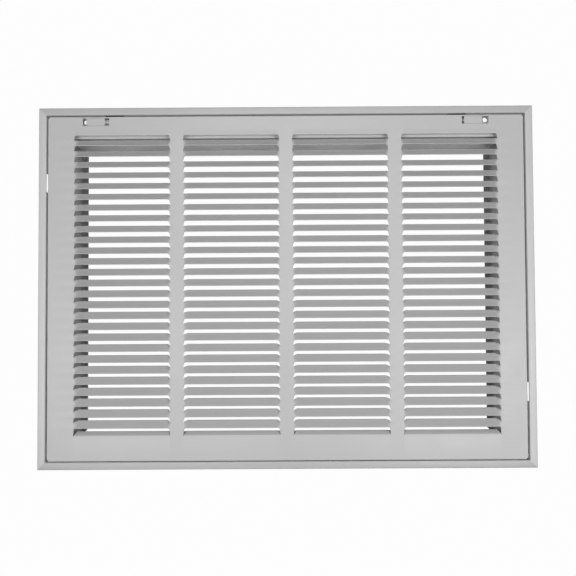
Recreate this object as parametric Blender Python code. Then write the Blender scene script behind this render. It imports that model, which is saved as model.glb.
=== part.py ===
"""Return air filter grille: a louvred steel door hinged in a mitred wall frame.

World axes: X runs across the grille, Z is up and Y goes into the wall, so the face looks
along -Y. The origin is the centre of the whole grille's box. Every depth below is measured
from the front of the frame's face, into the wall.
"""

import math

import bmesh
import bpy
from mathutils import Matrix, Vector

MM = 0.001

# Frame: four mitred rails, each one folded strip
FRAME_WIDTH = 565.2 * MM
FRAME_HEIGHT = 412.8 * MM
FRAME_SHEET = 0.8 * MM
FACE_WIDTH = 8.5 * MM
COLLAR_INSET = 31.8 * MM
COLLAR_LENGTH = 48.5 * MM
LIP_WIDTH = 6.0 * MM
FRAME_BEND = 1.2 * MM
MITRE_GAP = 0.3 * MM

# Door: one stamped sheet with turned-back edges
DOOR_SIDE_GAP = 2.6 * MM
DOOR_TOP_GAP = 1.6 * MM
DOOR_BOTTOM_GAP = 1.3 * MM
DOOR_RECESS = 1.5 * MM
DOOR_SHEET = 0.8 * MM
DOOR_EDGE_DEPTH = 5.6 * MM
DOOR_BEND = 0.9 * MM

# Louvres: lanced along the top and ends, turned about the necks that carry them
COLUMN_WIDTH = 111.1 * MM
MULLION_WIDTH = 13.85 * MM
LEAST_SIDE_MARGIN = 27.5 * MM
ROW_PITCH = 12.38 * MM
TOP_MARGIN = 22.05 * MM
LEAST_BOTTOM_MARGIN = 28.0 * MM
BLADE_TILT = math.radians(49.0)
BLADE_LIP = 1.5 * MM
BLADE_LIP_TILT = math.radians(14.5)
TWIST_AXIS_ABOVE_CUT = 2.9 * MM
NECK_HEIGHT = 5.0 * MM
CORNER_INSET = 3.4 * MM
TWIST_LENGTH = 5.6 * MM
TAB_LENGTH = 2.6 * MM
TAB_WAIST = 1.3 * MM
TAB_ROUNDING = 1.5 * MM
LANCE_WIDTH = 0.5 * MM
LAST_BLADE = 8.0 * MM
TOP_LIP_FORWARD = 0.6 * MM

# Latches: a slide in a window of the door, its guide behind, and a keeper in the top rail
LATCH_FROM_DOOR_EDGE = 54.0 * MM
WINDOW_WIDTH = 30.4 * MM
WINDOW_HEIGHT = 9.0 * MM
WINDOW_FROM_TOP = 1.4 * MM
LATCH_SHEET = 0.8 * MM
LATCH_BEND = 0.9 * MM
PAD_WIDTH = 21.4 * MM
PAD_CLEARANCE = 0.5 * MM
STROKE_END_GAP = 0.2 * MM
LEFT_REST_SHIFT = -0.7 * MM
RIGHT_REST_SHIFT = 2.0 * MM
KEEPER_FROM_LATCH = 20.5 * MM
KEEPER_SHEET = 0.8 * MM
KEEPER_DROP = 7.0 * MM
GUIDE_ABOVE_LOUVRES = 2.2 * MM
GUIDE_REAR_LEG = 5.5 * MM
GUIDE_PAST_CENTRE = 6.0 * MM
RAIL_CLEARANCE_BEHIND = 1.2 * MM

# Slots punched in the rails' inner walls, for the keepers and as spares
SLOT_LENGTH = 22.0 * MM
SLOT_DEPTH_START = 2.0 * MM
LEFT_SLOT_HEIGHT = 132.0 * MM
RIGHT_SLOT_HEIGHT = 121.0 * MM

# Screw holes through the ledges that lie on the wall
SCREW_HOLE = 6.2 * MM
SCREW_FROM_SIDE = 51.1 * MM
SCREW_FROM_TOP = 13.0 * MM

# Hinge pins at the door's lower corners
PIN_DIAMETER = 3.0 * MM
PIN_HEAD_DIAMETER = 4.2 * MM
PIN_HEAD_LENGTH = 1.0 * MM
PIN_PAST_WALL = 2.2 * MM
PIN_ABOVE_DOOR_EDGE = 4.5 * MM
PIN_DEPTH = 4.7 * MM

# Corner keys inside the frame's border
KEY_LEG = 38.0 * MM
KEY_THICKNESS = 1.5 * MM
KEY_CLEARANCE = 0.5 * MM

# Clearances and roundness
SEAT_GAP = 0.3 * MM
DOOR_STOP_GAP = 0.5 * MM
BEND_STEPS = 3
ROUND_STEPS = 24
CUTTER_OVERSHOOT = 1.0 * MM

# The stack of depths through the latch, front to back
PLATE_BACK = DOOR_RECESS + DOOR_SHEET
DOOR_BACK = DOOR_RECESS + DOOR_EDGE_DEPTH
KEEPER_FRONT = DOOR_BACK + DOOR_STOP_GAP
KEEPER_BACK = KEEPER_FRONT + KEEPER_SHEET
TONGUE_FRONT = KEEPER_BACK + SEAT_GAP
TONGUE_BACK = TONGUE_FRONT + LATCH_SHEET
WALL_DEPTH = TONGUE_BACK + RAIL_CLEARANCE_BEHIND + FRAME_SHEET
TOTAL_DEPTH = WALL_DEPTH + COLLAR_LENGTH

# The door inside the frame
DOOR_HALF_WIDTH = FRAME_WIDTH / 2 - FACE_WIDTH - DOOR_SIDE_GAP
DOOR_TOP = FRAME_HEIGHT / 2 - FACE_WIDTH - DOOR_TOP_GAP
DOOR_BOTTOM = -FRAME_HEIGHT / 2 + FACE_WIDTH + DOOR_BOTTOM_GAP
HINGE_HEIGHT = DOOR_BOTTOM + PIN_ABOVE_DOOR_EDGE

# The louvre field on the door
COLUMN_PITCH = COLUMN_WIDTH + MULLION_WIDTH
COLUMNS = int((2 * (DOOR_HALF_WIDTH - LEAST_SIDE_MARGIN) + MULLION_WIDTH) / COLUMN_PITCH)
FIELD_HALF_WIDTH = (COLUMNS * COLUMN_PITCH - MULLION_WIDTH) / 2
FIELD_TOP = DOOR_TOP - TOP_MARGIN
LOWEST_CUT = DOOR_BOTTOM + LEAST_BOTTOM_MARGIN + LAST_BLADE
ROWS = int((FIELD_TOP - LOWEST_CUT) / ROW_PITCH) + 1
BLADE_NOSE = ((TWIST_AXIS_ABOVE_CUT - BLADE_LIP) * math.sin(BLADE_TILT)
              + BLADE_LIP * math.sin(BLADE_LIP_TILT)
              + DOOR_SHEET / 2 * math.cos(BLADE_LIP_TILT))
FRONT_MOST = min(0.0, DOOR_RECESS + DOOR_SHEET / 2 - BLADE_NOSE)
CENTRE_DEPTH = (FRONT_MOST + TOTAL_DEPTH) / 2

# The latches on the door
LATCH_X = DOOR_HALF_WIDTH - LATCH_FROM_DOOR_EDGE
KEEPER_X = LATCH_X - KEEPER_FROM_LATCH
KEEPER_HALF_WIDTH = SLOT_LENGTH / 2 - SEAT_GAP
WINDOW_TOP = DOOR_TOP - WINDOW_FROM_TOP
PAD_TOP = WINDOW_TOP - PAD_CLEARANCE
PAD_BOTTOM = WINDOW_TOP - WINDOW_HEIGHT + PAD_CLEARANCE
STROKE = (WINDOW_WIDTH - PAD_WIDTH) / 2 - STROKE_END_GAP
TONGUE_REACH = LATCH_X - (KEEPER_X + KEEPER_HALF_WIDTH + SEAT_GAP + RIGHT_REST_SHIFT)
GUIDE_OUTER = PAD_WIDTH / 2 - LATCH_SHEET - STROKE - SEAT_GAP

STEEL_GREY = (0.56, 0.56, 0.57, 1.0)
ZINC_GREY = (0.48, 0.49, 0.50, 1.0)
PAINT_ROUGHNESS = 0.42
ZINC_ROUGHNESS = 0.35


def clear_scene():
    """Remove whatever objects the opened file holds."""
    for old in list(bpy.data.objects):
        bpy.data.objects.remove(old, do_unlink=True)


def make_material(name, colour, roughness, metallic):
    """Make a Principled material of one colour."""
    material = bpy.data.materials.new(name)
    material.use_nodes = True
    shader = material.node_tree.nodes["Principled BSDF"]
    shader.inputs["Base Color"].default_value = colour
    shader.inputs["Roughness"].default_value = roughness
    shader.inputs["Metallic"].default_value = metallic
    return material


def painted(name):
    """Give a piece its own grey paint."""
    return make_material(name + "_paint", STEEL_GREY, PAINT_ROUGHNESS, 0.0)


def plated(name):
    """Give a piece its own zinc plate."""
    return make_material(name + "_zinc", ZINC_GREY, ZINC_ROUGHNESS, 1.0)


def add_object(name, points, faces, material=None):
    """Add a mesh object from points and faces, with its faces turned outward."""
    mesh = bpy.data.meshes.new(name)
    work = bmesh.new()
    corners = [work.verts.new(point) for point in points]
    for face in faces:
        work.faces.new([corners[index] for index in face])
    bmesh.ops.recalc_face_normals(work, faces=work.faces)
    work.to_mesh(mesh)
    work.free()
    if material:
        mesh.materials.append(material)
    item = bpy.data.objects.new(name, mesh)
    bpy.context.scene.collection.objects.link(item)
    return item


def left_of(direction):
    """Turn a flat direction a quarter to the left."""
    return Vector((-direction.y, direction.x))


def turned(direction, angle):
    """Turn a flat direction to the left by an angle."""
    return direction * math.cos(angle) + left_of(direction) * math.sin(angle)


def bent_line(corners, radius):
    """Walk a strip's centre line with rounded bends, as pairs of a point and its normal."""
    corners = [Vector(corner) for corner in corners]
    line = [(corners[0], left_of((corners[1] - corners[0]).normalized()))]
    for before, corner, after in zip(corners, corners[1:], corners[2:]):
        into = (corner - before).normalized()
        out = (after - corner).normalized()
        turn = math.atan2(into.cross(out), into.dot(out))
        side = math.copysign(1.0, turn)
        start = corner - into * radius * math.tan(abs(turn) / 2)
        centre = start + left_of(into) * radius * side
        for step in range(BEND_STEPS + 1):
            normal = turned(left_of(into), turn * step / BEND_STEPS)
            line.append((centre - normal * radius * side, normal))
    line.append((corners[-1], left_of((corners[-1] - corners[-2]).normalized())))
    return line


def strip_outline(corners, sheet, radius):
    """Outline a folded strip of even thickness around its centre line."""
    line = bent_line(corners, radius)
    upper = [point + normal * sheet / 2 for point, normal in line]
    lower = [point - normal * sheet / 2 for point, normal in reversed(line)]
    return upper + lower


def prism(name, outline, place, material=None):
    """Join two copies of an outline; place(point, end) puts each copy, for end -1 and 1."""
    count = len(outline)
    points = [place(point, end) for end in (-1, 1) for point in outline]
    sides = [(i, (i + 1) % count, count + (i + 1) % count, count + i) for i in range(count)]
    caps = [range(count), range(count, 2 * count)]
    return add_object(name, points, sides + caps, material)


def add_box(work, low, high):
    """Add a box between two corners to a cutter being built."""
    low = Vector(low)
    high = Vector(high)
    size = high - low
    matrix = Matrix.Translation((low + high) / 2) @ Matrix.Diagonal((*size, 1.0))
    bmesh.ops.create_cube(work, size=1.0, matrix=matrix)


def add_rod(work, centre, axis, diameter, length):
    """Add a round rod to a cutter or a turned piece being built."""
    turn = Vector((0, 0, 1)).rotation_difference(Vector(axis)).to_matrix().to_4x4()
    bmesh.ops.create_cone(work, cap_ends=True, segments=ROUND_STEPS, radius1=diameter / 2,
                          radius2=diameter / 2, depth=length,
                          matrix=Matrix.Translation(centre) @ turn)


def cut(item, work):
    """Cut the shapes in a bmesh out of an object, with a hidden cutter that shares its place."""
    mesh = bpy.data.meshes.new(item.name + "_cutter")
    work.to_mesh(mesh)
    work.free()
    cutter = bpy.data.objects.new(item.name + "_cutter", mesh)
    bpy.context.scene.collection.objects.link(cutter)
    cutter.matrix_world = item.matrix_world
    cutter.hide_render = True
    cutter.display_type = "WIRE"
    modifier = item.modifiers.new("cuts", "BOOLEAN")
    modifier.operation = "DIFFERENCE"
    modifier.solver = "EXACT"
    modifier.object = cutter


def rail_section():
    """Outline a rail across its length, as pairs of inset from the outer edge and depth."""
    half = FRAME_SHEET / 2
    corners = [
        (half, WALL_DEPTH),
        (half, half),
        (FACE_WIDTH - half, half),
        (FACE_WIDTH - half, WALL_DEPTH - half),
        (COLLAR_INSET + half, WALL_DEPTH - half),
        (COLLAR_INSET + half, TOTAL_DEPTH - half),
        (COLLAR_INSET + FRAME_SHEET + LIP_WIDTH, TOTAL_DEPTH - half),
    ]
    return strip_outline(corners, FRAME_SHEET, FRAME_BEND)


def add_rail(name, length, span, angle):
    """Add one rail, modelled as the top one and turned about Y to its side.

    Args are the rail's own length, the frame's size across it, and the turn.
    """
    mitre_setback = MITRE_GAP / 2 * math.sqrt(2)

    def place(point, end):
        inset, depth = point
        return (end * (length / 2 - inset - mitre_setback), depth, span / 2 - inset)

    rail = prism(name, rail_section(), place, painted(name))
    rail.location = (0, -CENTRE_DEPTH, 0)
    rail.rotation_euler = (0, angle, 0)
    bpy.context.view_layer.update()
    return rail


def add_wall_slot(work, along, span):
    """Cut the slot in a rail's inner wall at a place along the rail."""
    add_box(work,
            (along - SLOT_LENGTH / 2, SLOT_DEPTH_START,
             span / 2 - FACE_WIDTH - CUTTER_OVERSHOOT),
            (along + SLOT_LENGTH / 2, KEEPER_BACK + SEAT_GAP,
             span / 2 - FACE_WIDTH + FRAME_SHEET + CUTTER_OVERSHOOT))


def add_screw_holes(work):
    """Cut the two screw holes of a top or bottom rail through its ledge."""
    across = FRAME_WIDTH / 2 - SCREW_FROM_SIDE
    for side in (-1, 1):
        centre = (side * across, WALL_DEPTH - FRAME_SHEET / 2,
                  FRAME_HEIGHT / 2 - SCREW_FROM_TOP)
        add_rod(work, centre, (0, 1, 0), SCREW_HOLE, FRAME_SHEET + 2 * CUTTER_OVERSHOOT)


def add_pin_hole(work, along, span):
    """Cut the hole for a hinge pin through a side rail's inner wall."""
    centre = (along, PIN_DEPTH, span / 2 - FACE_WIDTH + FRAME_SHEET / 2)
    add_rod(work, centre, (0, 0, 1), PIN_DIAMETER + 2 * SEAT_GAP,
            FRAME_SHEET + 2 * CUTTER_OVERSHOOT)


def build_frame():
    """Build the four rails with their holes and slots."""
    quarter = math.pi / 2
    top = add_rail("top_rail", FRAME_WIDTH, FRAME_HEIGHT, 0)
    work = bmesh.new()
    for side in (-1, 1):
        add_wall_slot(work, side * KEEPER_X, FRAME_HEIGHT)
    add_screw_holes(work)
    cut(top, work)

    bottom = add_rail("bottom_rail", FRAME_WIDTH, FRAME_HEIGHT, 2 * quarter)
    work = bmesh.new()
    add_screw_holes(work)
    cut(bottom, work)

    left = add_rail("left_rail", FRAME_HEIGHT, FRAME_WIDTH, -quarter)
    work = bmesh.new()
    add_wall_slot(work, LEFT_SLOT_HEIGHT, FRAME_WIDTH)
    add_pin_hole(work, HINGE_HEIGHT, FRAME_WIDTH)
    cut(left, work)

    right = add_rail("right_rail", FRAME_HEIGHT, FRAME_WIDTH, quarter)
    work = bmesh.new()
    add_wall_slot(work, RIGHT_SLOT_HEIGHT, FRAME_WIDTH)
    add_pin_hole(work, -HINGE_HEIGHT, FRAME_WIDTH)
    cut(right, work)


def build_corner_keys():
    """Build the flat L-shaped keys that lie behind the face in each corner."""
    near = FRAME_SHEET + KEY_CLEARANCE
    far = FACE_WIDTH - FRAME_SHEET - KEY_CLEARANCE
    front = FRAME_SHEET + SEAT_GAP
    outline = [(near, near), (KEY_LEG, near), (KEY_LEG, far), (far, far),
               (far, KEY_LEG), (near, KEY_LEG)]
    for upright, up in (("top", 1), ("bottom", -1)):
        for sideways, across in (("left", -1), ("right", 1)):
            name = "corner_key_" + upright + "_" + sideways

            def place(point, end, across=across, up=up):
                depth = front + KEY_THICKNESS * (end + 1) / 2
                return (across * (FRAME_WIDTH / 2 - point[0]), depth - CENTRE_DEPTH,
                        up * (FRAME_HEIGHT / 2 - point[1]))

            prism(name, outline, place, painted(name))


def build_keepers():
    """Build the angle pieces that hang through the top rail's slots behind the door."""
    top = FRAME_HEIGHT / 2 - FRAME_SHEET - SEAT_GAP
    bottom = FRAME_HEIGHT / 2 - FACE_WIDTH - KEEPER_DROP
    half = KEEPER_SHEET / 2
    corners = [(SLOT_DEPTH_START, top - half), (KEEPER_FRONT + half, top - half),
               (KEEPER_FRONT + half, bottom)]
    outline = strip_outline(corners, KEEPER_SHEET, LATCH_BEND)
    for name, side in (("latch_keeper_left", -1), ("latch_keeper_right", 1)):

        def place(point, end, side=side):
            depth, height = point
            return (side * KEEPER_X + end * KEEPER_HALF_WIDTH, depth - CENTRE_DEPTH, height)

        prism(name, outline, place, painted(name))


class Sheet:
    """The middle surface of a formed sheet, which solid() thickens.

    Faces run counter-clockwise as seen from the front.
    """

    def __init__(self):
        self.points = []
        self.normals = []
        self.faces = []
        self.index = {}

    def point(self, key, position, normal=(0, -1, 0)):
        """Add a point once under a key, with the direction its thickness is laid along."""
        if key not in self.index:
            self.index[key] = len(self.points)
            self.points.append(Vector(position))
            self.normals.append(Vector(normal))
        return self.index[key]

    def face(self, *corners):
        """Add a face through points already added."""
        self.faces.append(corners)

    def solid(self, thickness):
        """Return the points and faces of the closed solid of this thickness."""
        count = len(self.points)
        half = thickness / 2
        front = [point + normal * half for point, normal in zip(self.points, self.normals)]
        back = [point - normal * half for point, normal in zip(self.points, self.normals)]
        faces = [tuple(face) for face in self.faces]
        faces += [tuple(count + i for i in reversed(face)) for face in self.faces]
        used = {(face[i - 1], face[i]) for face in self.faces for i in range(len(face))}
        for start, end in sorted(used):
            if (end, start) not in used:
                faces.append((end, start, count + start, count + end))
        return front + back, faces


def twist(distance):
    """Share of its full tilt that a blade has at a distance in from its column's edge."""
    share = min(1.0, distance / TWIST_LENGTH)
    return share * share * (3 - 2 * share)


def cut_height(row):
    """Height of the lanced line along the top of an opening; the first row is 1."""
    return FIELD_TOP - (row - 1) * ROW_PITCH


def column_edge(column, side):
    """Left (-1) or right (1) edge of a louvre column."""
    middle = -FIELD_HALF_WIDTH + COLUMN_WIDTH / 2 + column * COLUMN_PITCH
    return middle + side * COLUMN_WIDTH / 2


def edge_levels(sheet, column, side):
    """Add the points down one edge of a column, from the first neck to the last blade."""
    across = column_edge(column, side)
    depth = DOOR_RECESS + DOOR_SHEET / 2
    levels = []
    for row in range(ROWS):
        root = cut_height(row + 1)
        levels.append(sheet.point(("tip", column, side, row), (across, depth, root + NECK_HEIGHT)))
        levels.append(sheet.point(("root", column, side, row), (across, depth, root)))
    last = cut_height(ROWS) - LAST_BLADE
    levels.append(sheet.point(("tip", column, side, ROWS), (across, depth, last)))
    return levels


def blade_point(sheet, column, row, side, distance, edge):
    """Add a point of a full blade, turned by its twist.

    The edge is "lower", "lip" where the lower edge folds down, "end" or "upper".
    """
    share = twist(distance)
    tilt = BLADE_TILT * share
    lip_tilt = BLADE_LIP_TILT * share
    offset = {
        "lower": BLADE_LIP - TWIST_AXIS_ABOVE_CUT,
        "lip": BLADE_LIP - TWIST_AXIS_ABOVE_CUT,
        "end": NECK_HEIGHT - TWIST_AXIS_ABOVE_CUT,
        "upper": ROW_PITCH - LANCE_WIDTH - TWIST_AXIS_ABOVE_CUT,
    }[edge]
    position = Vector((column_edge(column, side) - side * distance,
                       DOOR_RECESS + DOOR_SHEET / 2 + offset * math.sin(tilt),
                       cut_height(row + 1) + TWIST_AXIS_ABOVE_CUT + offset * math.cos(tilt)))
    lean = tilt
    stretch = 1.0
    if edge == "lower":
        position -= Vector((0, math.sin(lip_tilt), math.cos(lip_tilt))) * BLADE_LIP
        lean = lip_tilt
    elif edge == "lip":
        lean = (tilt + lip_tilt) / 2
        stretch = 1 / math.cos((tilt - lip_tilt) / 2)
    normal = Vector((0, -math.cos(lean), math.sin(lean))) * stretch
    return sheet.point((edge, column, row, side, distance), position, normal)


def add_full_blade(sheet, column, row):
    """Add one blade between its two necks."""
    rails = {"lower": [], "lip": [], "upper": []}
    for side in (-1, 1):
        near = {
            "lower": blade_point(sheet, column, row, side, TAB_LENGTH, "lower"),
            "lip": blade_point(sheet, column, row, side, TAB_LENGTH, "lip"),
            "upper": blade_point(sheet, column, row, side, CORNER_INSET, "upper"),
        }
        far = {edge: blade_point(sheet, column, row, side, TWIST_LENGTH, edge) for edge in rails}
        tip = sheet.index[("tip", column, side, row)]
        root = sheet.index[("root", column, side, row)]
        end = blade_point(sheet, column, row, side, LANCE_WIDTH, "end")
        pieces = [(root, end, tip), (root, near["lower"], near["lip"]), (root, near["lip"], end),
                  (near["lip"], near["upper"], end)]
        for low, high in (("lower", "lip"), ("lip", "upper")):
            pieces.append((near[low], far[low], far[high], near[high]))
        for piece in pieces:
            sheet.face(*(piece if side < 0 else reversed(piece)))
        for edge, ends in rails.items():
            ends.append(far[edge])
    for low, high in (("lower", "lip"), ("lip", "upper")):
        sheet.face(rails[low][0], rails[low][1], rails[high][1], rails[high][0])


def add_top_lip(sheet, column):
    """Add the margin's edge above the first opening, pressed slightly forward."""
    root = cut_height(1)
    depth = DOOR_RECESS + DOOR_SHEET / 2
    upper = [sheet.index[("tip", column, -1, 0)]]
    lower = [sheet.index[("root", column, -1, 0)]]
    stations = ((-1, TAB_LENGTH), (-1, TWIST_LENGTH), (1, TWIST_LENGTH), (1, TAB_LENGTH))
    for side, distance in stations:
        across = column_edge(column, side) - side * distance
        forward = TOP_LIP_FORWARD * twist(distance)
        upper.append(sheet.point(("lip", column, side, distance),
                                 (across, depth, root + NECK_HEIGHT)))
        lower.append(sheet.point(("lower", column, 0, side, distance),
                                 (across, depth - forward, root)))
    upper.append(sheet.index[("tip", column, 1, 0)])
    lower.append(sheet.index[("root", column, 1, 0)])
    for i in range(len(upper) - 1):
        sheet.face(lower[i], lower[i + 1], upper[i + 1], upper[i])
    return upper


def add_last_blade(sheet, column):
    """Add the short last blade, bent up along its whole lower edge."""
    depth = DOOR_RECESS + DOOR_SHEET / 2
    root = cut_height(ROWS) - LAST_BLADE
    half_turn = BLADE_TILT / 2
    fold_normal = Vector((0, -math.cos(half_turn), math.sin(half_turn))) / math.cos(half_turn)
    blade_normal = (0, -math.cos(BLADE_TILT), math.sin(BLADE_TILT))
    fold = []
    free = []
    for side in (-1, 1):
        edge = column_edge(column, side)
        fold.append(sheet.point(("fold", column, side),
                                (edge - side * LANCE_WIDTH, depth, root), fold_normal))
        free.append(sheet.point(("free", column, side),
                                (edge - side * CORNER_INSET,
                                 depth + LAST_BLADE * math.sin(BLADE_TILT),
                                 root + LAST_BLADE * math.cos(BLADE_TILT)), blade_normal))
    sheet.face(fold[0], fold[1], free[1], free[0])
    return [sheet.index[("tip", column, -1, ROWS)], *fold, sheet.index[("tip", column, 1, ROWS)]]


def add_louvre_column(sheet, column):
    """Add one column of blades and the small tabs beside the ends of its openings."""
    for side in (-1, 1):
        edge_levels(sheet, column, side)
    upper = add_top_lip(sheet, column)
    for row in range(1, ROWS):
        add_full_blade(sheet, column, row)
    lower = add_last_blade(sheet, column)
    for row in range(1, ROWS + 1):
        for side in (-1, 1):
            across = column_edge(column, side) - side * TAB_WAIST
            waist = sheet.point(("waist", column, side, row),
                                (across, DOOR_RECESS + DOOR_SHEET / 2,
                                 cut_height(row) - TAB_ROUNDING))
            root = sheet.index[("root", column, side, row - 1)]
            for tab in ((sheet.index[("tip", column, side, row)], waist, root),
                        (waist, sheet.index[("lower", column, row - 1, side, TAB_LENGTH)], root)):
                sheet.face(*(tab if side < 0 else reversed(tab)))
    return upper, lower


def add_plate_fan(sheet, outer, inner):
    """Fill between two outer corners and a run of inner points, half from each corner."""
    middle = len(inner) // 2
    for i in range(len(inner) - 1):
        corner = outer[0] if i < middle else outer[1]
        sheet.face(corner, inner[i + 1], inner[i])
    sheet.face(outer[0], outer[1], inner[middle])


def add_door_edges(sheet):
    """Add the turned-back edges as rings around the plate and return the plate's corners."""
    corners = ((-1, -1), (1, -1), (1, 1), (-1, 1))
    rings = []
    turns = [math.pi / 2 * step / BEND_STEPS for step in range(BEND_STEPS + 1)]
    stations = [(turn, DOOR_BEND * (1 - math.cos(turn))) for turn in turns]
    stations.append((math.pi / 2, DOOR_EDGE_DEPTH - DOOR_SHEET / 2))
    for turn, depth in stations:
        inset = DOOR_SHEET / 2 + DOOR_BEND * (1 - math.sin(turn))
        ring = []
        for across, up in corners:
            edge = DOOR_TOP if up > 0 else DOOR_BOTTOM
            position = (across * (DOOR_HALF_WIDTH - inset),
                        DOOR_RECESS + DOOR_SHEET / 2 + depth, edge - up * inset)
            normal = (across * math.sin(turn), -math.cos(turn), up * math.sin(turn))
            ring.append(sheet.point(("ring", len(rings), across, up), position, normal))
        rings.append(ring)
    for inner, outer in zip(rings, rings[1:]):
        for i in range(4):
            sheet.face(inner[i], inner[i - 1], outer[i - 1], outer[i])
    return rings[0]


def door_sheet():
    """Lay out the whole door as one middle surface."""
    sheet = Sheet()
    top_line = []
    bottom_line = []
    for column in range(COLUMNS):
        upper, lower = add_louvre_column(sheet, column)
        top_line += upper
        bottom_line += lower
    for column in range(COLUMNS - 1):
        left = edge_levels(sheet, column, 1)
        right = edge_levels(sheet, column + 1, -1)
        for i in range(len(left) - 1):
            sheet.face(left[i + 1], right[i + 1], right[i], left[i])
    bottom_left, bottom_right, top_right, top_left = add_door_edges(sheet)
    add_plate_fan(sheet, (top_right, top_left), list(reversed(top_line)))
    add_plate_fan(sheet, (bottom_left, bottom_right), bottom_line)
    add_plate_fan(sheet, (top_left, bottom_left), edge_levels(sheet, 0, -1))
    add_plate_fan(sheet, (bottom_right, top_right),
                  list(reversed(edge_levels(sheet, COLUMNS - 1, 1))))
    return sheet


def build_door(pivot):
    """Build the louvred door with its two latch windows and two pin holes."""
    points, faces = door_sheet().solid(DOOR_SHEET)
    shift = Vector((0, CENTRE_DEPTH, 0)) + pivot.location
    door = add_object("door_panel", [point - shift for point in points], faces,
                      painted("door_panel"))
    door.parent = pivot
    bpy.context.view_layer.update()
    work = bmesh.new()
    for side in (-1, 1):
        low = Vector((side * LATCH_X - WINDOW_WIDTH / 2, DOOR_RECESS - CUTTER_OVERSHOOT,
                      WINDOW_TOP - WINDOW_HEIGHT))
        high = Vector((side * LATCH_X + WINDOW_WIDTH / 2, PLATE_BACK + CUTTER_OVERSHOOT,
                       WINDOW_TOP))
        add_box(work, low - shift, high - shift)
        pin = Vector((side * (DOOR_HALF_WIDTH - DOOR_SHEET / 2), PIN_DEPTH, HINGE_HEIGHT))
        add_rod(work, pin - shift, (1, 0, 0), PIN_DIAMETER + 2 * SEAT_GAP,
                DOOR_SHEET + 2 * CUTTER_OVERSHOOT)
    cut(door, work)


def build_latch(name, side, rest_shift, pivot):
    """Build one latch: the folded slide in its window and the guide that carries it.

    The rest shift is how far the slide stands from the middle of its window, inward.
    """
    half = LATCH_SHEET / 2
    pad_depth = DOOR_RECESS + half
    tongue_depth = TONGUE_FRONT + half
    outer = PAD_WIDTH / 2 - half
    slide_corners = [(PAD_WIDTH / 2, pad_depth), (-outer, pad_depth), (-outer, tongue_depth),
                     (TONGUE_REACH, tongue_depth)]
    slide_x = side * (LATCH_X - rest_shift)
    middle = (PAD_TOP + PAD_BOTTOM) / 2

    def place_slide(point, end):
        inward, depth = point
        return (-side * inward, depth - pad_depth, end * (PAD_TOP - PAD_BOTTOM) / 2)

    slide = prism("latch_slide_" + name, strip_outline(slide_corners, LATCH_SHEET, LATCH_BEND),
                  place_slide, painted("latch_slide_" + name))
    slide.parent = pivot
    slide.location = Vector((slide_x, pad_depth - CENTRE_DEPTH, middle)) - pivot.location

    front = PLATE_BACK + SEAT_GAP + half
    back = TONGUE_FRONT - SEAT_GAP - half
    top = PAD_TOP - SEAT_GAP - half
    guide_corners = [(front, FIELD_TOP + GUIDE_ABOVE_LOUVRES), (front, top), (back, top),
                     (back, top - GUIDE_REAR_LEG)]
    guide_centre = LATCH_X + (GUIDE_OUTER - GUIDE_PAST_CENTRE) / 2
    guide_half = (GUIDE_OUTER + GUIDE_PAST_CENTRE) / 2

    def place_guide(point, end):
        depth, height = point
        return (end * guide_half, depth - front, height - top)

    guide = prism("latch_guide_" + name, strip_outline(guide_corners, LATCH_SHEET, LATCH_BEND),
                  place_guide, painted("latch_guide_" + name))
    guide.parent = pivot
    guide.location = Vector((side * guide_centre, front - CENTRE_DEPTH, top)) - pivot.location


def build_hinge_pins(pivot):
    """Build the two headed pins that join the door's edges to the side rails."""
    head_inner = DOOR_HALF_WIDTH - DOOR_SHEET - SEAT_GAP - PIN_HEAD_LENGTH
    shank_end = FRAME_WIDTH / 2 - FACE_WIDTH + FRAME_SHEET + PIN_PAST_WALL
    head = PIN_HEAD_DIAMETER / 2
    shank = PIN_DIAMETER / 2
    profile = [(0, 0), (0, head), (PIN_HEAD_LENGTH, head), (PIN_HEAD_LENGTH, shank),
               (shank_end - head_inner - shank / 3, shank), (shank_end - head_inner, shank * 2 / 3),
               (shank_end - head_inner, 0)]
    for name, side in (("hinge_pin_left", -1), ("hinge_pin_right", 1)):
        work = bmesh.new()
        ring = [work.verts.new((side * along, radius, 0)) for along, radius in profile]
        edges = [work.edges.new(pair) for pair in zip(ring, ring[1:])]
        bmesh.ops.spin(work, geom=ring + edges, axis=(1, 0, 0), cent=(0, 0, 0),
                       angle=2 * math.pi, steps=ROUND_STEPS, use_merge=True)
        bmesh.ops.remove_doubles(work, verts=work.verts, dist=PIN_DIAMETER / 1000)
        bmesh.ops.recalc_face_normals(work, faces=work.faces)
        mesh = bpy.data.meshes.new(name)
        work.to_mesh(mesh)
        work.free()
        mesh.materials.append(plated(name))
        mesh.shade_smooth()
        mesh.set_sharp_from_angle(angle=math.radians(35))
        pin = bpy.data.objects.new(name, mesh)
        bpy.context.scene.collection.objects.link(pin)
        pin.parent = pivot
        pin.location = (side * head_inner, 0, 0)


def main():
    """Build the grille."""
    clear_scene()
    build_frame()
    build_corner_keys()
    build_keepers()
    pivot = bpy.data.objects.new("door_hinge_axis", None)
    pivot.location = (0, PIN_DEPTH - CENTRE_DEPTH, HINGE_HEIGHT)
    bpy.context.scene.collection.objects.link(pivot)
    bpy.context.view_layer.update()
    build_door(pivot)
    build_latch("left", -1, LEFT_REST_SHIFT, pivot)
    build_latch("right", 1, RIGHT_REST_SHIFT, pivot)
    build_hinge_pins(pivot)


if __name__ == "__main__":
    main()
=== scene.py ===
"""Dress the return air filter grille: fine sheet-metal surfaces, powder coat and a studio.

Sizes are in metres. X runs across the grille, Z is up and Y goes into the wall. Depths in the
size classes are measured from the front of the frame's face, so y = depth - centre depth.
"""

import logging
import math
from dataclasses import dataclass
from enum import Enum

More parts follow.
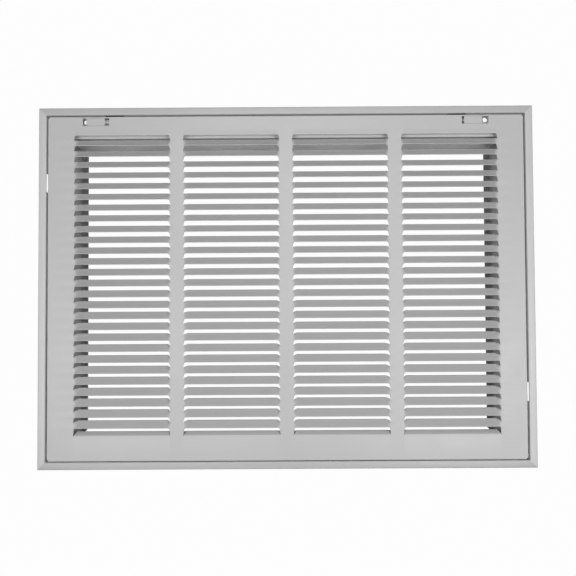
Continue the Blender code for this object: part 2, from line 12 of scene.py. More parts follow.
import bpy
import numpy as np
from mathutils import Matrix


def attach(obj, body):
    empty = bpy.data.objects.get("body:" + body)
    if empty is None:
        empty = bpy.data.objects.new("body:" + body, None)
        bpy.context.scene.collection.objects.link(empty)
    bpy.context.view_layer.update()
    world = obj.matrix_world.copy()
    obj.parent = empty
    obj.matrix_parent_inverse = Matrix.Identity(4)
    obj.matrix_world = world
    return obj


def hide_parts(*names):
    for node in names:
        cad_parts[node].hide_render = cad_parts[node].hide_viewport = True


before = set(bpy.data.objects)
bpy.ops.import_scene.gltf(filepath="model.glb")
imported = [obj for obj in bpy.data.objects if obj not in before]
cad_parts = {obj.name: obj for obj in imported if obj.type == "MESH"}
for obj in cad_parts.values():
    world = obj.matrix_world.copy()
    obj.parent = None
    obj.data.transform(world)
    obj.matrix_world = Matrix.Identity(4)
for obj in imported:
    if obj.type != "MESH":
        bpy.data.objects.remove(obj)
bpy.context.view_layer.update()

logger = logging.getLogger("grille")

MM = 0.001
# Points closer than this are one point.
WELD = 0.01 * MM
# Shifts the welding steps, so that no plane of the grille falls between two of them.
WELD_ORIGIN = 0.00312345
# Keeps a length that is divided by above nothing.
TINY = 1e-18
# Two sides of a corner whose lengths multiply to less have no angle between them.
NO_CORNER = 1e-14
# A point whose outward sum is shorter lies inside the sheet, away from its free edges.
INNER_SIZE = 1e-9
SHARP_ANGLE = math.radians(40.0)


class Slot(Enum):
    """Material slots of the record."""

    FRAME = "frame_paint"
    DOOR = "door_paint"
    INNER = "inner_paint"
    ZINC = "zinc"


class Body(Enum):
    """Bodies that pieces ride on."""

    FRAME = "frame"
    DOOR = "door"
    LATCH_LEFT = "latch_left"
    LATCH_RIGHT = "latch_right"


class Side(Enum):
    """Left or right half of the grille, as the sign of X."""

    LEFT = -1
    RIGHT = 1

    @property
    def word(self) -> str:
        """Name of the side as used in node names."""
        return self.name.lower()


class NodeWiring:
    """A short way to wire shader nodes in one tree."""

    def __init__(self, tree: bpy.types.NodeTree) -> None:
        """Keep the tree that the nodes go into."""
        self.tree = tree

    def add(self, kind: str, **settings: object) -> bpy.types.Node:
        """Add a node and set its properties.

        Args:
            kind: Blender's node type name.
            **settings: Node properties by name.

        Returns:
            The new node.
        """
        node = self.tree.nodes.new(kind)
        for key, value in settings.items():
            setattr(node, key, value)
        return node

    def link(self, source: bpy.types.NodeSocket, target: bpy.types.NodeSocket) -> None:
        """Join two sockets."""
        self.tree.links.new(source, target)

    def place(self) -> bpy.types.NodeSocket:
        """Return the socket of the piece's own coordinates."""
        return self.add("ShaderNodeTexCoord").outputs["Object"]

    def noise(self, scale: float, detail: float, rough: float = 0.5) -> bpy.types.NodeSocket:
        """Add a noise on Object coordinates.

        Args:
            scale: Waves per metre.
            detail: Number of octaves.
            rough: Share that each octave keeps.

        Returns:
            The noise's factor socket.
        """
        node = self.add("ShaderNodeTexNoise")
        node.inputs["Scale"].default_value = scale
        node.inputs["Detail"].default_value = detail
        node.inputs["Roughness"].default_value = rough
        self.link(self.place(), node.inputs["Vector"])
        return node.outputs["Fac"]

    def ramp(self, source: bpy.types.NodeSocket, low: tuple, high: tuple,
             start: float = 0.3, end: float = 0.7) -> bpy.types.NodeSocket:
        """Spread a factor between two colours.

        Args:
            source: Factor socket.
            low: Colour at the start.
            high: Colour at the end.
            start: Factor that gives the first colour.
            end: Factor that gives the second colour.

        Returns:
            The colour socket.
        """
        node = self.add("ShaderNodeValToRGB")
        node.color_ramp.elements[0].position = start
        node.color_ramp.elements[0].color = (*low, 1.0)
        node.color_ramp.elements[1].position = end
        node.color_ramp.elements[1].color = (*high, 1.0)
        self.link(source, node.inputs["Fac"])
        return node.outputs["Color"]

    def spread(self, source: bpy.types.NodeSocket, low: float, high: float,
               start: float = 0.3, end: float = 0.7) -> bpy.types.NodeSocket:
        """Map a value from start..end to low..high.

        Args:
            source: Value socket.
            low: Result up to the start.
            high: Result from the end on.
            start: Value that gives the first result.
            end: Value that gives the second result.

        Returns:
            The mapped value socket.
        """
        node = self.add("ShaderNodeMapRange")
        node.inputs["From Min"].default_value = start
        node.inputs["From Max"].default_value = end
        node.inputs["To Min"].default_value = low
        node.inputs["To Max"].default_value = high
        self.link(source, node.inputs["Value"])
        return node.outputs["Result"]

    def bump(self, source: bpy.types.NodeSocket, distance: float,
             under: bpy.types.NodeSocket | None = None) -> bpy.types.NodeSocket:
        """Turn a height factor into a bumped normal.

        Args:
            source: Height socket.
            distance: Height in metres for a factor of one.
            under: Normal socket that lies under this bump.

        Returns:
            The normal socket.
        """
        node = self.add("ShaderNodeBump")
        node.inputs["Distance"].default_value = distance
        self.link(source, node.inputs["Height"])
        if under is not None:
            self.link(under, node.inputs["Normal"])
        return node.outputs["Normal"]


class NodeSheet(NodeWiring):
    """The wiring of one new material with a Principled shader."""

    def __init__(self, name: str) -> None:
        """Start the material.

        Args:
            name: Name of the material.
        """
        self.material = bpy.data.materials.new(name)
        self.material.use_nodes = True
        super().__init__(self.material.node_tree)
        self.shader = self.tree.nodes["Principled BSDF"]


@dataclass(frozen=True)
class Fade:
    """Painted shading on a coat: its colour scaled along one axis by a share that holds from the
    end on, a share above one being painted light and below one painted shade.
    """

    axis: str
    start: float
    end: float
    share: float

    def apply(self, sheet: NodeSheet, colour: bpy.types.NodeSocket) -> bpy.types.NodeSocket:
        """Scale a colour by 1 up to the start and by the share from the end on.

        Args:
            sheet: The material being wired.
            colour: The coat's colour socket.

        Returns:
            The changed colour socket.
        """
        axes = sheet.add("ShaderNodeSeparateXYZ")
        sheet.link(sheet.place(), axes.inputs["Vector"])
        share = sheet.spread(axes.outputs[self.axis], 1.0, self.share, self.start, self.end)
        shaded_colour = sheet.add("ShaderNodeVectorMath", operation="SCALE")
        sheet.link(colour, shaded_colour.inputs["Vector"])
        sheet.link(share, shaded_colour.inputs["Scale"])
        return shaded_colour.outputs["Vector"]


@dataclass(frozen=True)
class PowderCoat:
    """Satin powder coat: a faint mottle, orange peel and fine grain on steel sheet."""

    name: str
    colour: tuple[float, float, float]
    mottle: float = 0.018
    mottle_scale: float = 9.0
    roughness: float = 0.40
    roughness_spread: float = 0.05
    roughness_scale: float = 35.0
    peel_scale: float = 420.0
    peel_height: float = 0.022 * MM
    grain_scale: float = 2600.0
    grain_height: float = 0.006 * MM
    # Painted light and shade laid over the coat's colour, one step after another.
    painted_shading: tuple[Fade, ...] = ()

    def make(self) -> bpy.types.Material:
        """Build the material.

        Returns:
            The new material.
        """
        sheet = NodeSheet(self.name)
        low = tuple(c * (1 - self.mottle) for c in self.colour)
        high = tuple(c * (1 + self.mottle) for c in self.colour)
        colour = sheet.ramp(sheet.noise(self.mottle_scale, 4.0, 0.6), low, high)
        # Paint light and shade into the coat's colour.
        for shading_step in self.painted_shading:
            colour = shading_step.apply(sheet, colour)
        sheet.link(colour, sheet.shader.inputs["Base Color"])
        rough = sheet.spread(sheet.noise(self.roughness_scale, 3.0),
                             self.roughness - self.roughness_spread,
                             self.roughness + self.roughness_spread)
        sheet.link(rough, sheet.shader.inputs["Roughness"])
        peel = sheet.bump(sheet.noise(self.peel_scale, 2.0), self.peel_height)
        grain = sheet.bump(sheet.noise(self.grain_scale, 1.0), self.grain_height, peel)
        sheet.link(grain, sheet.shader.inputs["Normal"])
        sheet.shader.inputs["Metallic"].default_value = 0.0
        sheet.shader.inputs["IOR"].default_value = 1.45
        return sheet.material


@dataclass(frozen=True)
class ZincPlate:
    """Dull zinc on turned pins, with fine rings from the lathe."""

    name: str = "zinc_plate"
    colour: tuple[float, float, float] = (0.34, 0.35, 0.36)
    cloud_scale: float = 300.0
    roughness: float = 0.33
    roughness_scale: float = 800.0
    ring_scale: float = 1800.0
    ring_distortion: float = 1.5
    ring_height: float = 0.01 * MM

    def make(self) -> bpy.types.Material:
        """Build the material.

        Returns:
            The new material.
        """
        sheet = NodeSheet(self.name)
        cloud = sheet.noise(self.cloud_scale, 3.0)
        low = tuple(c * 0.9 for c in self.colour)
        high = tuple(min(1.0, c * 1.08) for c in self.colour)
        sheet.link(sheet.ramp(cloud, low, high), sheet.shader.inputs["Base Color"])
        rough = sheet.spread(sheet.noise(self.roughness_scale, 2.0), self.roughness - 0.06,
                             self.roughness + 0.08)
        sheet.link(rough, sheet.shader.inputs["Roughness"])
        rings = sheet.add("ShaderNodeTexWave", bands_direction="X")
        rings.inputs["Scale"].default_value = self.ring_scale
        rings.inputs["Distortion"].default_value = self.ring_distortion
        sheet.link(sheet.place(), rings.inputs["Vector"])
        sheet.link(sheet.bump(rings.outputs["Fac"], self.ring_height),
                   sheet.shader.inputs["Normal"])
        sheet.shader.inputs["Metallic"].default_value = 1.0
        return sheet.material


def fresh_mesh(name: str, points: np.ndarray, quads: np.ndarray,
               material: bpy.types.Material) -> bpy.types.Object:
    """Put points and quads into a new object that stands at the origin.

    A quad that names one point twice in a row becomes a triangle.

    Args:
        name: Name of the object.
        points: Array of n points.
        quads: Array of m rows of four point numbers.
        material: Material of the whole piece.

    Returns:
        The new object.
    """
    keep = quads != np.roll(quads, -1, axis=1)
    whole = keep.sum(axis=1) > 2
    quads, keep = quads[whole], keep[whole]
    sizes = keep.sum(axis=1)
    loops = quads[keep]
    mesh = bpy.data.meshes.new(name)
    mesh.vertices.add(len(points))
    mesh.vertices.foreach_set("co", points.astype(np.float32).ravel())
    mesh.loops.add(len(loops))
    mesh.loops.foreach_set("vertex_index", loops.astype(np.int32))
    mesh.polygons.add(len(sizes))
    starts = np.concatenate([[0], np.cumsum(sizes)[:-1]])
    mesh.polygons.foreach_set("loop_start", starts.astype(np.int32))
    mesh.update(calc_edges=True)
    mesh.validate()
    mesh.materials.append(material)
    mesh.shade_smooth()
    mesh.set_sharp_from_angle(angle=SHARP_ANGLE)
    item = bpy.data.objects.new(name, mesh)
    bpy.context.scene.collection.objects.link(item)
    return item


def dress(item: bpy.types.Object, node: str, body: Body) -> bpy.types.Object:
    """Tell the frame what a new piece stands for and rides on.

    Args:
        item: The new piece.
        node: The CAD node that it replaces.
        body: The body that it rides on.

    Returns:
        The same piece.
    """
    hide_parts(node)
    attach(item, body.value)
    logger.info("%s: %d faces", item.name, len(item.data.polygons))
    return item


def grid_quads(rows: int, columns: int, keep: np.ndarray | None = None) -> np.ndarray:
    """Number the quads of a grid of points.

    Args:
        rows: Points down the grid.
        columns: Points across the grid.
        keep: Which cells stay, or None for all.

    Returns:
        Array of m rows of four point numbers.
    """
    low = np.arange(rows - 1)[:, None] * columns + np.arange(columns - 1)[None, :]
    quads = np.stack([low, low + 1, low + columns + 1, low + columns], axis=-1)
    return quads.reshape(-1, 4) if keep is None else quads[keep]


def point_normals(points: np.ndarray, quads: np.ndarray) -> np.ndarray:
    """Work out each point's unit normal.

    It is the sum of the unit normals of the quads round it, each times its angle at the point,
    and a quad's normal is the cross product of its diagonals.

    Args:
        points: Array of n points.
        quads: Array of m rows of four point numbers.

    Returns:
        Array of n unit normals.
    """
    corner = points[quads]
    facing = np.cross(corner[:, 2] - corner[:, 0], corner[:, 3] - corner[:, 1])
    size = np.linalg.norm(facing, axis=1, keepdims=True)
    facing = facing / np.maximum(size, TINY)
    normal = np.zeros_like(points)
    for k in range(4):
        before = corner[:, k - 1] - corner[:, k]
        after = corner[:, (k + 1) % 4] - corner[:, k]
        length = np.linalg.norm(before, axis=1) * np.linalg.norm(after, axis=1)
        cosine = np.einsum("ij,ij->i", before, after) / np.maximum(length, TINY)
        angle = np.where(length > NO_CORNER, np.arccos(np.clip(cosine, -1.0, 1.0)), 0.0)
        np.add.at(normal, quads[:, k], facing * angle[:, None])
    return normal / np.maximum(np.linalg.norm(normal, axis=1, keepdims=True), TINY)


class FormedSheet:
    """The middle surface of a piece of formed sheet metal, gathered from grids of points."""

    def __init__(self) -> None:
        """Start with no surface."""
        self.points: list[np.ndarray] = []
        self.quads: list[np.ndarray] = []
        self.count = 0

    def add(self, points: np.ndarray, quads: np.ndarray) -> None:
        """Add points and the quads between them.

        Args:
            points: Array of n points.
            quads: Quads numbered within these points.
        """
        self.points.append(points.reshape(-1, 3))
        self.quads.append(quads + self.count)
        self.count += len(self.points[-1])

    def grid(self, points: np.ndarray, keep: np.ndarray | None = None) -> None:
        """Add one grid of points.

        Args:
            points: Array of rows by columns by three.
            keep: Which cells stay, or None for all.
        """
        self.add(points, grid_quads(points.shape[0], points.shape[1], keep))

    def grids(self, points: np.ndarray) -> None:
        """Add many grids of one shape at once.

        Args:
            points: Array of any leading axes, then rows by columns by three.
        """
        rows, columns = points.shape[-3:-1]
        many = points.reshape(-1, rows * columns, 3)
        steps = np.arange(len(many))[:, None, None] * rows * columns
        self.add(points, (grid_quads(rows, columns)[None] + steps).reshape(-1, 4))

    def join(self, other: "FormedSheet", turned: bool) -> None:
        """Add another sheet's surface.

        Args:
            other: The sheet to add.
            turned: Whether its front and back change places.
        """
        quads = np.concatenate(other.quads)
        self.add(np.concatenate(other.points), quads[:, ::-1] if turned else quads)

    def round_hole(self, block: np.ndarray, radius: float) -> None:
        """Fill a flat block of 5 by 5 points up to a round hole about its middle point.

        The ring's inner points lie on the lines from the middle to the block's outer points.

        Args:
            block: Array of 5 by 5 by three.
            radius: The hole's radius.
        """
        outer = np.concatenate([block[0, :-1], block[:-1, -1], block[-1, :0:-1], block[:0:-1, 0]])
        reach = outer - block[2, 2]
        inner = block[2, 2] + radius * reach / np.linalg.norm(reach, axis=1, keepdims=True)
        self.grid(np.stack([np.concatenate([outer, outer[:1]]),
                            np.concatenate([inner, inner[:1]])]))

    def welded(self) -> tuple[np.ndarray, np.ndarray]:
        """Merge points that lie in the same place, and drop the quads that this closes up.

        Returns:
            The points and the quads.
        """
        points = np.concatenate(self.points)
        quads = np.concatenate(self.quads)
        keys = np.round((points + WELD_ORIGIN) / WELD).astype(np.int64)
        _, first, where = np.unique(keys, axis=0, return_index=True, return_inverse=True)
        named = where.reshape(-1)[quads]
        corners = (named != np.roll(named, -1, axis=1)).sum(axis=1)
        return points[first], named[corners > 2]

    def solid(self, thickness: float, rim: float) -> tuple[np.ndarray, np.ndarray]:
        """Give the surface its thickness, with a small chamfer along every free edge.

        Front and back lie half a thickness along each point's normal. A free edge's outer
        points stay on the outline, and the front and back ones draw in by the chamfer.

        Args:
            thickness: The sheet's thickness.
            rim: Size of the chamfer.

        Returns:
            The closed solid's points and quads.
        """
        points, quads = self.welded()
        normal = point_normals(points, quads)
        tail = quads.ravel()
        head = np.roll(quads, -1, axis=1).ravel()
        real = tail != head
        tail, head = tail[real], head[real]
        count = len(points)
        forward = tail * count + head
        free = ~np.isin(head * count + tail, forward)
        tail, head = tail[free], head[free]
        along = points[head] - points[tail]
        along /= np.linalg.norm(along, axis=1, keepdims=True)
        outward = np.zeros_like(points)
        for ends in (tail, head):
            side = np.cross(along, normal[ends])
            np.add.at(outward, ends, side)
        size = np.maximum(np.linalg.norm(outward, axis=1, keepdims=True), TINY)
        longest = 1.5
        outward = outward / size * np.clip(2 / size, 0, longest)
        outward[size[:, 0] < INNER_SIZE] = 0
        half = thickness / 2
        front = points + normal * half - outward * rim
        back = points - normal * half - outward * rim
        upper = points + normal * (half - rim)
        lower = points - normal * (half - rim)
        stack = np.concatenate([front, upper, lower, back])
        faces = [quads, quads[:, ::-1] + 3 * count]
        for level in range(3):
            faces.append(np.stack([head + level * count, tail + level * count,
                                   tail + (level + 1) * count, head + (level + 1) * count], 1))
        used, named = np.unique(np.concatenate(faces), return_inverse=True)
        return stack[used], named.reshape(-1, 4)


def bent_path(corners: list[tuple[float, float]], radius: float, steps: int,
              marks: dict[int, list[float]] | None = None) -> np.ndarray:
    """Round the corners of a flat path with arcs that touch both of its legs.

    Args:
        corners: The path's corners.
        radius: Radius of each bend.
        steps: Segments of each bend.
        marks: Distances from a leg's first corner where a point is added, by leg number.

    Returns:
        Array of points along the path.
    """
    corner = np.array(corners, dtype=float)
    path = [corner[:1]]
    for leg in range(len(corner) - 1):
        into = corner[leg + 1] - corner[leg]
        into /= np.linalg.norm(into)
        if marks and leg in marks:
            path.append(corner[leg] + np.array(marks[leg])[:, None] * into)
        if leg + 2 == len(corner):
            path.append(corner[-1:])
            continue
        out = corner[leg + 2] - corner[leg + 1]
        out /= np.linalg.norm(out)
        turn = math.atan2(into[0] * out[1] - into[1] * out[0], into @ out)
        left = np.array([-into[1], into[0]]) * math.copysign(1.0, turn)
        start = corner[leg + 1] - into * radius * math.tan(abs(turn) / 2)
        angle = np.linspace(0, abs(turn), steps + 1)[:, None]
        path.append(start + radius * (left * (1 - np.cos(angle)) + into * np.sin(angle)))
    return np.concatenate(path)


def punched_block(centre: float, reach: float) -> list[float]:
    """Return the five grid lines around a round hole."""
    return [centre + reach * step for step in (-1.0, -0.5, 0.0, 0.5, 1.0)]


def lines_near(values: np.ndarray, middle: float, reach: float) -> np.ndarray:
    """Return the numbers of the grid lines that lie within reach of a hole's middle."""
    return np.flatnonzero(np.abs(values - middle) < reach + WELD)


def smooth(share: np.ndarray) -> np.ndarray:
    """Ease a share from 0 to 1 as 3 s squared minus 2 s cubed."""
    share = np.clip(share, 0.0, 1.0)
    return share * share * (3 - 2 * share)


@dataclass(frozen=True)
class GrilleSizes:
    """Sizes that the frame, the door and the latches share."""

    width: float = 565.2 * MM
    height: float = 412.8 * MM
    sheet: float = 0.8 * MM
    face: float = 8.5 * MM
    door_side_gap: float = 1.5 * MM
    door_top_gap: float = 1.25 * MM
    door_bottom_gap: float = 0.6 * MM
    door_recess: float = 1.5 * MM
    door_edge_depth: float = 5.6 * MM
    seat_gap: float = 0.3 * MM
    stop_gap: float = 0.5 * MM
    clearance_behind: float = 1.2 * MM
    collar: float = 48.5 * MM
    latch_from_edge: float = 55.1 * MM
    keeper_from_latch: float = 20.5 * MM
    pin_above_edge: float = 5.2 * MM
    pin_depth: float = 4.7 * MM
    pin_hole: float = 3.6 * MM
    window_width: float = 30.4 * MM
    window_height: float = 9.0 * MM
    window_from_top: float = 1.75 * MM
    rim: float = 0.07 * MM

    @property
    def plate(self) -> float:
        """Depth of the middle of the door's plate."""
        return self.door_recess + self.sheet / 2

    @property
    def door_back(self) -> float:
        """Depth of the back of the door's edges."""
        return self.door_recess + self.door_edge_depth

    @property
    def keeper_front(self) -> float:
        """Depth of the front of the keepers."""
        return self.door_back + self.stop_gap

    @property
    def tongue_front(self) -> float:
        """Depth of the front of the latch tongues."""
        return self.keeper_front + self.sheet + self.seat_gap

    @property
    def wall(self) -> float:
        """Depth of the plane that lies on the wall."""
        return self.tongue_front + 2 * self.sheet + self.clearance_behind

    @property
    def total(self) -> float:
        """Whole depth, down to the back of the collar."""
        return self.wall + self.collar

    @property
    def centre(self) -> float:
        """Depth of the origin."""
        return self.total / 2

    @property
    def door_half(self) -> float:
        """Half of the door's width."""
        return self.width / 2 - self.face - self.door_side_gap

    @property
    def door_top(self) -> float:
        """Height of the door's upper edge."""
        return self.height / 2 - self.face - self.door_top_gap

    @property
    def door_bottom(self) -> float:
        """Height of the door's lower edge."""
        return -self.height / 2 + self.face + self.door_bottom_gap

    @property
    def hinge(self) -> float:
        """Height of the hinge axis."""
        return self.door_bottom + self.pin_above_edge

    @property
    def latch(self) -> float:
        """Distance of a latch window's middle from the grille's middle."""
        return self.door_half - self.latch_from_edge

    @property
    def keeper(self) -> float:
        """Distance of a keeper's middle from the grille's middle."""
        return self.latch - self.keeper_from_latch


@dataclass(frozen=True)
class RailForm:
    """One folded rail: its name, length, span, turn and holes.

    The turn is the angle about Y that carries the top rail's place to this one.
    """

    node: str
    length: float
    span: float
    turn: float
    slots: tuple[float, ...] = ()
    screws: tuple[float, ...] = ()
    pins: tuple[float, ...] = ()


@dataclass
class WallFrame:
    """The four mitred rails, the keys in their corners and the two keepers."""

    sizes: GrilleSizes
    # The rails' coats hold painted light and shade along their depth, the inner coat is lightened
    # as painted light, and the keepers' coat holds painted light and a painted shade on their upper
    # part.
    paint: bpy.types.Material
    side_paint: bpy.types.Material
    inner_paint: bpy.types.Material
    keeper_paint: bpy.types.Material
    collar_inset: float = 31.8 * MM
    side_lip: float = 6.0 * MM
    end_lip: float = 2.6 * MM
    bend: float = 0.8 * MM
    bend_steps: int = 5
    face_mitre: float = 0.10 * MM
    wall_mitre: float = 0.02 * MM
    slot: float = 21.44 * MM
    slot_rear: float = 24.5 * MM
    keeper_reach: float = 12.2 * MM
    slot_start: float = 2.0 * MM
    left_slot: float = 121.0 * MM
    right_slot: float = 121.0 * MM
    screw_hole: float = 5.0 * MM
    screw_from_side: float = 51.1 * MM
    screw_from_top: float = 13.0 * MM
    screw_block: float = 3.5 * MM
    pin_block: float = 2.2 * MM
    end_zone: float = 46.0 * MM
    key_leg: float = 38.0 * MM
    key_thickness: float = 1.5 * MM
    key_clearance: float = 0.5 * MM
    key_rim: float = 0.2 * MM
    keeper_drop: float = 7.0 * MM
    keeper_bend: float = 0.9 * MM

    def rail_path(self, lip: float) -> np.ndarray:
        """Lay out a rail's section as points of inset and depth.

        Args:
            lip: Width of the lip at the back of the collar.

        Returns:
            Array of points along the folded strip's middle line.
        """
        s = self.sizes
        half = s.sheet / 2
        wall = s.wall - half
        inner = s.face - half
        corners = [(half, s.wall), (half, half), (inner, half), (inner, wall),
                   (self.collar_inset + half, wall), (self.collar_inset + half, s.total - half),
                   (self.collar_inset + s.sheet + lip, s.total - half)]
        wall_marks = [self.slot_start, *punched_block(s.pin_depth, self.pin_block),
                      s.keeper_front - s.seat_gap, s.keeper_front + s.sheet + s.seat_gap]
        ledge_marks = punched_block(self.screw_from_top, self.screw_block)
        marks = {2: sorted(mark - half for mark in wall_marks),
                 3: [mark - inner for mark in ledge_marks]}
        return bent_path(corners, self.bend, self.bend_steps, marks)

    def rail_grid(self, form: RailForm, path: np.ndarray,
                  setback: np.ndarray) -> tuple[np.ndarray, np.ndarray]:
        """Carry a rail's section along its length.

        Past the end zone the lines close up so that each meets the mitre at its own inset:
        x = start + (line - start) (end(inset) - start) / (end(inner wall) - start).

        Args:
            form: The rail's sizes and holes.
            path: The section, as inset and depth.
            setback: How far each point of the section stays back from the mitre, along the rail.

        Returns:
            The lines along the rail, and the points of lines by section.
        """
        s = self.sizes
        inner = s.face - s.sheet / 2
        tip = form.length / 2 - inner - self.wall_mitre
        start = tip - self.end_zone if form.pins else form.length / 2 - self.end_zone
        lines = {-tip, -start, start, tip}
        for middle in form.slots:
            lines |= {middle + side * width / 2 for side in (-1, 1)
                      for width in (self.slot, self.slot_rear)}
        for middle in form.screws:
            lines |= set(punched_block(middle, self.screw_block))
        for middle in form.pins:
            lines |= set(punched_block(middle, self.pin_block))
        line = np.array(sorted(lines))[:, None]
        end = (form.length / 2 - path[:, 0] - setback)[None, :]
        beyond = np.sign(line) * (start + (np.abs(line) - start) * (end - start) / (tip - start))
        along = np.where(np.abs(line) > start, beyond, line)
        depth = np.broadcast_to(path[:, 1][None, :], along.shape)
        inset = np.broadcast_to(path[:, 0][None, :], along.shape)
        return line[:, 0], np.stack([along, depth - s.centre, form.span / 2 - inset], axis=-1)

    def slot_cells(self, form: RailForm, path: np.ndarray, line: np.ndarray) -> np.ndarray:
        """Mark the cells that stay beside the slots, which are wider at the keeper's leg.

        Args:
            form: The rail's sizes and holes.
            path: The section, as inset and depth.
            line: The lines along the rail.

        Returns:
            Mask of lines by section.
        """
        s = self.sizes
        keep = np.ones((len(line) - 1, len(path) - 1), dtype=bool)
        middle_line = (line[1:] + line[:-1]) / 2
        middle_path = (path[1:] + path[:-1]) / 2
        on_wall = self.on_wall(middle_path)
        slot_step = s.keeper_front - s.seat_gap
        slot_end = s.keeper_front + s.sheet + s.seat_gap
        for start_depth, end_depth, width in ((self.slot_start, slot_step, self.slot),
                                              (slot_step, slot_end, self.slot_rear)):
            deep = on_wall & (middle_path[:, 1] > start_depth) & (middle_path[:, 1] < end_depth)
            for middle in form.slots:
                keep[np.ix_(np.abs(middle_line - middle) < width / 2, deep)] = False
        return keep

    def on_wall(self, path: np.ndarray) -> np.ndarray:
        """Tell which points of a section lie on the border's inner wall."""
        return np.abs(path[:, 0] - self.sizes.face + self.sizes.sheet / 2) < self.sizes.sheet / 8

    def rail(self, form: RailForm) -> bpy.types.Object:
        """Build one rail: its section carried along its length, punched, with 45 degree ends.

        Args:
            form: The rail's sizes and holes.

        Returns:
            The rail.
        """
        s = self.sizes
        path = self.rail_path(self.side_lip if form.pins else self.end_lip)
        gap = np.where(path[:, 1] < self.bend, self.face_mitre, self.wall_mitre)
        setback = gap / 2 * math.sqrt(2)
        line, points = self.rail_grid(form, path, setback)
        keep = self.slot_cells(form, path, line)
        wall_depth = np.where(self.on_wall(path), path[:, 1], math.inf)
        sheet = FormedSheet()
        for middles, across, at, block, hole in (
                (form.screws, path[:, 0], self.screw_from_top, self.screw_block, self.screw_hole),
                (form.pins, wall_depth, s.pin_depth, self.pin_block, s.pin_hole)):
            for middle in middles:
                rows = lines_near(line, middle, block)
                columns = lines_near(across, at, block)
                keep[rows[0]:rows[-1], columns[0]:columns[-1]] = False
                sheet.round_hole(points[np.ix_(rows, columns)], hole / 2)
        sheet.grid(points, keep)
        solid, quads = sheet.solid(s.sheet, s.rim)
        # The ends are cut along the mitre's plane.
        limit = form.length / 2 - (form.span / 2 - solid[:, 2]) - setback.min()
        over = np.abs(solid[:, 0]) > limit - s.sheet
        solid[:, 0] = np.where(over, np.sign(solid[:, 0]) * limit, solid[:, 0])
        cosine, sine = math.cos(form.turn), math.sin(form.turn)
        turned = np.stack([solid[:, 0] * cosine + solid[:, 2] * sine, solid[:, 1],
                           solid[:, 2] * cosine - solid[:, 0] * sine], axis=1)
        paint = self.side_paint if form.pins else self.paint
        item = fresh_mesh(form.node + "_sheet", turned, quads, paint)
        return dress(item, form.node, Body.FRAME)

    def rails(self) -> None:
        """Build the four rails."""
        s = self.sizes
        quarter = math.pi / 2
        screws = (self.screw_from_side - s.width / 2, s.width / 2 - self.screw_from_side)
        forms = (
            RailForm("top_rail", s.width, s.height, 0.0, (-s.keeper, s.keeper), screws),
            RailForm("bottom_rail", s.width, s.height, 2 * quarter, (), screws),
            RailForm("left_rail", s.height, s.width, -quarter, (self.left_slot,), (), (s.hinge,)),
            RailForm("right_rail", s.height, s.width, quarter, (self.right_slot,), (),
                     (-s.hinge,)),
        )
        for form in forms:
            self.rail(form)

    def keys(self) -> None:
        """Build the flat L-shaped key behind the face in each corner."""
        s = self.sizes
        near = s.sheet + self.key_clearance
        far = s.face - s.sheet - self.key_clearance
        line = np.array([near, far, self.key_leg])
        depth = s.sheet + s.seat_gap + self.key_thickness / 2
        keep = np.array([[True, True], [True, False]])
        for up, upright in ((1, "top"), (-1, "bottom")):
            for side in Side:
                x = side.value * (s.width / 2 - line)
                z = up * (s.height / 2 - line)
                points = np.stack(np.broadcast_arrays(x[None, :], depth - s.centre, z[:, None]), -1)
                sheet = FormedSheet()
                turned = side.value * up > 0
                sheet.grid(points.transpose(1, 0, 2) if turned else points, keep)
                solid, quads = sheet.solid(self.key_thickness, self.key_rim)
                node = f"corner_key_{upright}_{side.word}"
                item = fresh_mesh(node + "_plate", solid, quads, self.inner_paint)
                dress(item, node, Body.FRAME)

    def keepers(self) -> None:
        """Build the two angles that hang through the top rail's slots."""
        s = self.sizes
        half = s.sheet / 2
        top = s.height / 2 - s.sheet - s.seat_gap - half
        bottom = s.height / 2 - s.face - self.keeper_drop
        corners = [(self.slot_start, top), (s.keeper_front + half, top),
                   (s.keeper_front + half, bottom)]
        path = bent_path(corners, self.keeper_bend, self.bend_steps)
        for side in Side:
            item = folded_strip(f"latch_keeper_{side.word}_angle", path, side.value * s.keeper,
                                self.keeper_reach, s, self.keeper_paint)
            node = f"latch_keeper_{side.word}"
            dress(item, node, Body.FRAME)


def folded_strip(name: str, path: np.ndarray, middle: float, reach: float, s: GrilleSizes,
                 paint: bpy.types.Material) -> bpy.types.Object:
    """Build a folded strip whose section in depth and height runs along X.

    Args:
        name: Name of the object.
        path: The section's middle line, as depth and height.
        middle: Middle of the strip in X.
        reach: Half of the strip's width.
        s: The grille's sizes.
        paint: Material.

    Returns:
        The strip.
    """
    corner = 0.6 * MM
    line = np.array([middle - reach, middle - reach + corner, middle + reach - corner,
                     middle + reach])
    points = np.stack(np.broadcast_arrays(line[:, None], path[None, :, 0] - s.centre,
                                          path[None, :, 1]), axis=-1)
    sheet = FormedSheet()
    sheet.grid(points)
    return fresh_mesh(name, *sheet.solid(s.sheet, s.rim), paint)


